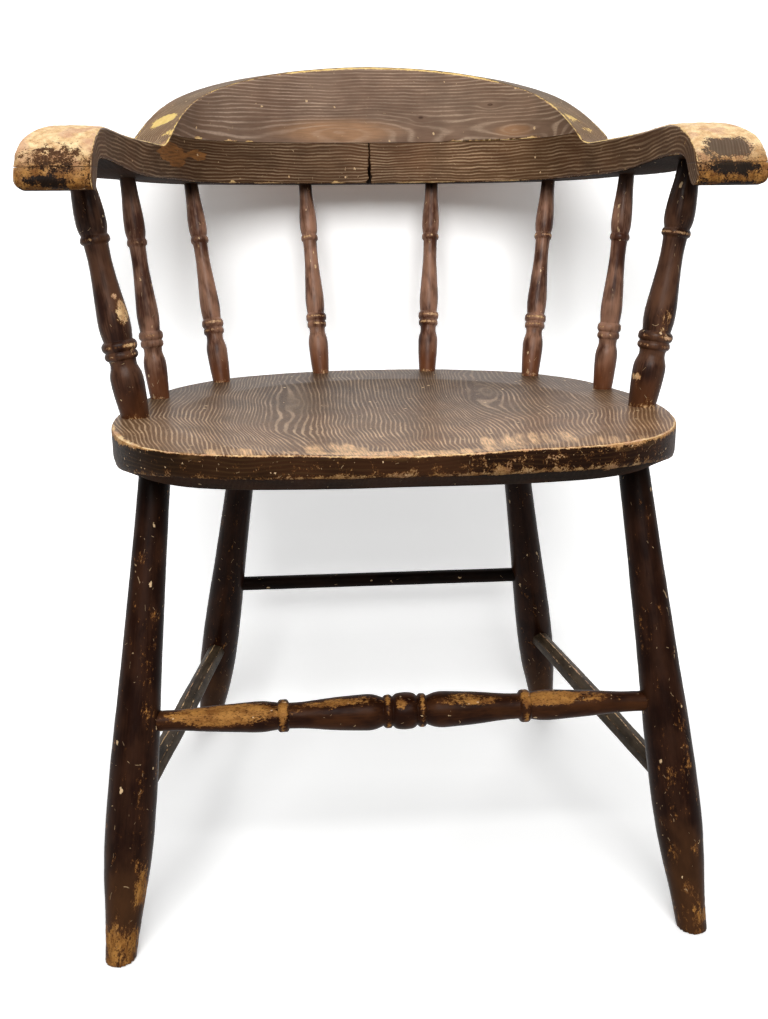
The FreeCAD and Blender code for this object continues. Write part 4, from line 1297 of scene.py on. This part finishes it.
BUTT_REACH = 9.0  # the surface this near the joint moves with it
GAPE_TOP = 1.5
GAPE_MORE_BELOW = 3.2
WANDERS = ((2.4, 5.5, 0), (1.6, 2.2, 3))  # reach to the side, length, and where in the noise


def open_butt(obj, side):
    """The joint at the centre of the back gapes along a wandering line, widest at the bottom."""
    for v in obj.data.vertices:
        x, y, z = v.co / MM
        near = 1 - abs(x) / BUTT_REACH
        if near > 0:
            wander = sum(reach * noise.noise(Vector((at, 0, z / length))) for reach, length, at in WANDERS)
            deep = 1 - float(ease(y, 226, 252))
            ragged = 0.8 + 1.5 * noise.noise(Vector((7, 0, z / 3.5)))
            lower = float(ease(-z, -668, -638))
            gape = deep * (GAPE_TOP + GAPE_MORE_BELOW * lower * max(ragged, 0.1))
            v.co.x += (wander + side * gape / 2) * near * MM


ROLL_Y = -118.0
LEFT_WORN = (
    (-259, -176, 643, (20, 20, 10), -0.2), (-261, -181, 622, (18, 16, 4.6), -0.4),
    (-262, -178, 631, (22, 16, 4), -0.06), (-240, -178, 628, (5, 16, 12), 0.2),
    (-233, -150, 654, (4, 40, 20), 0.3), (-149, 180, 635, (4, 6, 2.5), 0.5),
    (-36, 212, 635, (9, 5, 2), 0.45), (-89, 204, 641, (2, 4, 3), 0.6),
    (-112, 197, 634, (16, 10, 1.6), 0.3), (-2, 213, 640, (3, 3, 8), 0.2))
LEFT_RUBBED = ((-200, 84, 657, (16, 56, 13), 0.9), (-178, 150, 662, (20, 22, 8), 0.62))
RIGHT_WORN = (
    (256, -167, 646, (18, 18, 8.5), -0.62), (258, -181, 628.5, (22, 12, 5), -0.42),
    (258, -178, 616.5, (26, 14, 2.2), -0.35), (240, -178, 624, (5, 16, 8), 0.15),
    (231, -146, 656, (5, 40, 20), 0.3), (60, 209, 634, (36, 8, 1.4), 0.4),
    (150, 178, 634, (26, 20, 1.2), 0.3), (184, 138, 672, (14, 22, 2.6), 0.3))
RIGHT_RUBBED = ((40, 211, 637, (50, 8, 3), 0.3),)
JOINT_GROOVE = 0.07


def arm_wear(rings, apart):
    """Wear along the corners of the bow, and all over its rolled ends."""
    x, y, z = rings[..., 0], rings[..., 1], rings[..., 2]
    free = ease(-(y - x), 104, 126)
    wear = (0.04 + 0.5 * free) * np.exp(-(apart[INNER_TOP] / 1.5) ** 2)
    wear += 0.42 * np.exp(-(apart[INNER_LOW] / 1.3) ** 2)
    wear += (0.15 + 0.35 * free) * np.exp(-(apart[OUTER_TOP] / 3.0) ** 2)
    wear += 0.36 * np.exp(-(apart[OUTER_LOW] / 1.8) ** 2)
    upper = np.isin(np.broadcast_to(ZONES, y.shape), (TOP_FACE, BACK_FACE)) & (apart[OUTER_LOW] > 4)
    rolled = ease(-y, -ROLL_Y - 26, -ROLL_Y + 6) * upper
    bared = 0.56 + 0.42 * ease(z, 642, 660) + 0.14 * ease(x, 266, 280)
    return np.maximum(wear, rolled * bared) + 0.2 * free * upper * (1 - rolled)


def arms():
    rings, along = arm_rings()
    run, apart = around_ring(rings)
    way = np.stack([np.broadcast_to(along[:, None], run.shape), run, np.zeros_like(run)], axis=-1) * MM
    marks = {"way": way, "wear": arm_wear(rings, apart), "rub_and_sheen": np.zeros(run.size)}
    zones = np.repeat(np.array(ZONES)[None, :], len(rings) - 1, axis=0)
    zones[(zones == TOP_FACE) & (rings[:-1, :, 1] > -40)] = BACK_TOP_FACE
    rail = skin("arm_rail_right_shaped", rings, marks, zones,
                [RAIL_FACE, ARM_TOP_FACE, BOW_BACK, BOW_UNDER, CREST_TOP_FACE], cap_zone=UNDER_FACE)
    block = new_object("arm_scroll_block_right_shaped", rail.data.copy())
    cut_flat(block, (0, 0, SCROLL_JOINT * MM), (0, 0, 1))
    cut_flat(rail, (0, 0, SCROLL_JOINT * MM), (0, 0, -1))
    for part in (rail, block):
        ease_cut(part, SCROLL_JOINT, JOINT_GROOVE)
    rail_left = mirrored(rail, "arm_rail_left_shaped")
    block_left = mirrored(block, "arm_scroll_block_left_shaped")
    open_butt(rail, 1)
    open_butt(rail_left, -1)
    for obj, node, worn, rubbed_and_sheen in (
            (rail, "arm_rail_right", RIGHT_WORN, RIGHT_RUBBED),
            (block, "arm_scroll_block_right", RIGHT_WORN, ()),
            (rail_left, "arm_rail_left", LEFT_WORN, LEFT_RUBBED),
            (block_left, "arm_scroll_block_left", LEFT_WORN, ())):
        weather(obj, worn, rubbed_and_sheen, waves=0.3, seed=41.0)
        piece(obj, node)


CREST_WORN = (
    (-211, 133, 694, (17, 12, 8), 1.1), (-222, 128, 688, (8, 8, 6), 0.5),
    (-179, 151, 677.5, (8, 8, 1.8), 0.8), (-150, 179, 677, (9, 7, 1.6), 0.8),
    (-129, 189, 677, (6, 5, 1.5), 0.75), (190, 142, 707, (10, 14, 8), 0.36),
    (204, 123, 693, (12, 14, 8), 0.42), (218, 112, 680, (10, 12, 6), 0.4),
    (-200, 92, 678, (16, 20, 4), 0.4), (172, 161, 677, (10, 12, 3), 0.5))
CREST_RINGS = 300
CREST_LAST = 6  # the point of INNER and OUTER before which the crest ends
CREST_CROWDING = 0.85  # below 1 it brings the rings nearer together towards the ends


def crest_rings():
    """Rings of the crest from its left end to its right one, and the length walked to each. It
    stands on the bow, and its ends run down under the ramps of the arms."""
    rise = height_of(CREST_RUN)
    w = np.linspace(0, CREST_LAST, 4000)
    q_in = np.array([p[1] - p[0] for p in inner_plan(w)])
    q_out = np.array([p[1] - p[0] for p in outer_plan(w)])
    rings, along = [], []
    for s in np.linspace(-1, 1, CREST_RINGS):
        k = abs(s) ** CREST_CROWDING
        wi = np.interp(-(INNER_BACK - (INNER_BACK - CREST_END) * k), -q_in, w)
        wo = np.interp(-(OUTER_BACK - (OUTER_BACK - CREST_END) * k), -q_out, w)
        side = 1 if s >= 0 else -1
        (xi, yi), (xo, yo) = inner_plan(wi)[0], outer_plan(wo)[0]
        corners = [(side * xi, yi, RAIL_TOP), (side * xi, yi, CREST_TOP), (side * xo, yo, CREST_TOP),
                   (side * xo, yo, RAIL_TOP)]
        ring = section(corners, (0.5, 2.6 + 2.4 * (1 - k), 4.0, 0.5), 0.0)
        q = np.clip(ring[:, 1] - np.abs(ring[:, 0]), CREST_END, 280)
        base = np.minimum(RAIL_TOP, rise(q) - 0.8)
        ring[:, 2] = base + (ring[:, 2] - RAIL_TOP) * (rise(q) - base) / (CREST_TOP - RAIL_TOP)
        rings.append(ring)
        along.append(side * float(inner_run(wi)))
    return np.array(rings), np.array(along)


def crest():
    rings, along = crest_rings()
    run, apart = around_ring(rings)
    far = np.broadcast_to(along[:, None], run.shape)
    # rubbed along the edges of its top, and along its foot at the right
    wear = (0.5 + 0.42 * window(far, -84, 126, 16)) * np.exp(-(apart[INNER_TOP] / 1.8) ** 2)
    wear += (0.12 + 0.7 * window(far, 84, 186, 8)) * np.exp(-(apart[INNER_LOW] / 1.3) ** 2)
    wear += 0.45 * np.exp(-(apart[OUTER_TOP] / 2.6) ** 2)
    on_top = np.broadcast_to(ZONES, run.shape) == TOP_FACE
    wear += 0.12 * on_top * ease(np.abs(far), 190, 250)
    way = np.stack([far, run, np.zeros_like(run)], axis=-1) * MM
    obj = skin("crest_shaped", rings, {"way": way, "wear": wear, "rub_and_sheen": np.zeros(run.size)}, ZONES,
               [CREST_FACE, CREST_TOP_FACE, BOW_BACK, BOW_UNDER], cap_zone=TOP_FACE)
    weather(obj, CREST_WORN, waves=0.3, seed=41.0)
    piece(obj, "crest")


# floor, backdrop, light and camera
# in metres, as the lamps and the camera are too
WALL_Y = 0.282
WALL_TOP = 3.5
WALL_FOOT = 0.0003
SWEEP = 0.07
FLOOR_HALF = 5
FLOOR_MET = (0.36, 0.36, 0.357, 1.0)  # what light bounces off
FLOOR_SHOWN = 1.12  # what the camera sees of floor and wall under the same light
WALL_SHOWN = 1.35
FAR_WHITE = (1.1, 2.2)  # the distances between which both turn to plain white


def shown_white(w, surface, level, see_through):
    """Shows the camera a whiter surface than the light meets. It glows a little low down on the
    wall, glows white far from the chair, and is plain white in reflections and through glass."""
    ray = w.node("ShaderNodeLightPath").outputs
    place = w.node("ShaderNodeTexCoord").outputs["Object"]
    away = w.node("ShaderNodeVectorMath", {0: place}, operation="LENGTH").outputs["Value"]
    height = w.parts(place)[2]
    low = w.times(w.step(height, 0.002, 0.1), w.step(height, 0.5, 0.38))
    glow = w.add(w.add(w.times(low, 0.3), w.step(height, 0.6, 0.4, 0.0, 0.1)), w.step(away, *FAR_WHITE))
    lift = w.node("ShaderNodeEmission", {"Strength": glow}).outputs[0]
    whiter = w.node("ShaderNodeBsdfDiffuse", {"Color": (level, level, level * 0.995, 1.0)}).outputs[0]
    lit = w.node("ShaderNodeAddShader", {0: whiter, 1: lift}).outputs[0]
    seen = w.node("ShaderNodeMixShader", {0: ray["Is Camera Ray"], 1: surface, 2: lit}).outputs[0]
    white = w.node("ShaderNodeEmission", {"Strength": 1.0}).outputs[0]
    mirror = w.math("MAXIMUM", ray["Is Glossy Ray"], ray["Is Transmission Ray"])
    body = w.node("ShaderNodeMixShader", {0: mirror, 1: seen, 2: white}).outputs[0]
    if not see_through:
        return body
    back = w.node("ShaderNodeNewGeometry").outputs["Backfacing"]
    there = w.times(w.math("MAXIMUM", ray["Is Camera Ray"], mirror), w.less(1.0, back))
    clear = w.node("ShaderNodeBsdfTransparent").outputs[0]
    return w.node("ShaderNodeMixShader", {0: there, 1: clear, 2: body}).outputs[0]


def backdrop_material(name, level, see_through):
    """A see_through one lets lamplight pass, and anything seen from behind it."""
    m, w, shader = new_material(name)
    pale = w.node("ShaderNodeBsdfDiffuse", {"Color": FLOOR_MET}).outputs[0]
    surface = shown_white(w, pale, level, see_through)
    w.feed(m.node_tree.nodes["Material Output"].inputs["Surface"], surface)
    m.node_tree.nodes.remove(shader)
    return m


def stage():
    far = FLOOR_HALF
    mesh = bpy.data.meshes.new("floor")
    mesh.from_pydata([(-far, -far, 0), (far, -far, 0), (far, far, 0), (-far, far, 0)], [], [(0, 1, 2, 3)])
    mesh.materials.append(backdrop_material("floor", FLOOR_SHOWN, False))
    floor = new_object("floor", mesh)
    line = [(WALL_Y - SWEEP + SWEEP * math.sin(a), WALL_FOOT + SWEEP * (1 - math.cos(a)))
            for a in np.linspace(0, math.pi / 2, 24)]
    line.append((WALL_Y, WALL_TOP))
    verts = [(x, y, z) for y, z in line for x in (-far, far)]
    faces = [(2 * i, 2 * i + 1, 2 * i + 3, 2 * i + 2) for i in range(len(line) - 1)]
    mesh = bpy.data.meshes.new("backdrop")
    mesh.from_pydata(verts, [], faces)
    mesh.materials.append(backdrop_material("backdrop", WALL_SHOWN, True))
    mesh.shade_smooth()
    backdrop = new_object("backdrop", mesh)


WORLD_LIGHT = 0.32


def world():
    """Even soft light all round, which the camera sees as white."""
    made = bpy.data.worlds.new("studio")
    bpy.context.scene.world = made
    made.use_nodes = True
    w = Wiring(made.node_tree)
    ray = w.node("ShaderNodeLightPath").outputs
    soft = made.node_tree.nodes["Background"]
    soft.inputs["Color"].default_value = (1, 1, 1, 1)
    soft.inputs["Strength"].default_value = WORLD_LIGHT
    white = w.node("ShaderNodeBackground", {"Color": (1, 1, 1, 1), "Strength": 1.0}).outputs[0]
    seen = w.math("MAXIMUM", ray["Is Camera Ray"], ray["Is Transmission Ray"])
    mixed = w.node("ShaderNodeMixShader", {0: seen, 1: soft.outputs[0], 2: white}).outputs[0]
    w.feed(made.node_tree.nodes["World Output"].inputs["Surface"], mixed)


def lamp(name, place, aim, width, height, watts):
    data = bpy.data.lights.new(name, "AREA")
    data.shape = "RECTANGLE"
    data.size = width
    data.size_y = height
    data.energy = watts
    obj = bpy.data.objects.new(name, data)
    turn = (Vector(aim) - Vector(place)).to_track_quat("-Z", "Y")
    obj.matrix_world = Matrix.Translation(place) @ turn.to_matrix().to_4x4()
    bpy.context.scene.collection.objects.link(obj)


def lamps():
    lamp("window_front", (-0.15, -1.9, 1.7), aim=(0, 0, 0.45), width=1.6, height=1.1, watts=49.0)
    lamp("ceiling", (0.0, 0.1, 2.6), aim=(0, 0, 0.3), width=2.4, height=2.0, watts=14.0)
    lamp("back_fill", (0.4, 2.2, 1.6), aim=(0, 0, 0.4), width=1.6, height=1.2, watts=24.0)


# the camera's place and turns, in metres and radians, solved with the chair from the photograph
PHOTO_WIDTH = 768.0
FOCAL_PIXELS = 1050.7
SENSOR = 36.0
CAMERA_PLACE = (-0.0727, -1.006, 0.5902)
CAMERA_YAW = 0.0695
CAMERA_PITCH = 0.2656
CAMERA_ROLL = -0.0108


def camera():
    up = Vector((0, 0, 1))
    ahead = Vector((math.sin(CAMERA_YAW), math.cos(CAMERA_YAW), 0))
    right = Vector((math.cos(CAMERA_YAW), -math.sin(CAMERA_YAW), 0))
    look = ahead * math.cos(CAMERA_PITCH) - up * math.sin(CAMERA_PITCH)
    over = up * math.cos(CAMERA_PITCH) + ahead * math.sin(CAMERA_PITCH)
    side = right * math.cos(CAMERA_ROLL) + over * math.sin(CAMERA_ROLL)
    top = over * math.cos(CAMERA_ROLL) - right * math.sin(CAMERA_ROLL)
    data = bpy.data.cameras.new("photographer")
    data.sensor_fit = "HORIZONTAL"
    data.sensor_width = SENSOR
    data.lens = SENSOR * FOCAL_PIXELS / PHOTO_WIDTH
    cam = bpy.data.objects.new("photographer", data)
    turn = Matrix((side, top, -look)).transposed().to_4x4()
    cam.matrix_world = Matrix.Translation(CAMERA_PLACE) @ turn
    bpy.context.scene.collection.objects.link(cam)
    bpy.context.scene.camera = cam


legs()
front_stretcher()
rear_stretcher()
side_stretchers()
uprights()
seat()
arms()
crest()
stage()
world()
lamps()
camera()
bpy.context.scene.view_settings.view_transform = "Standard"
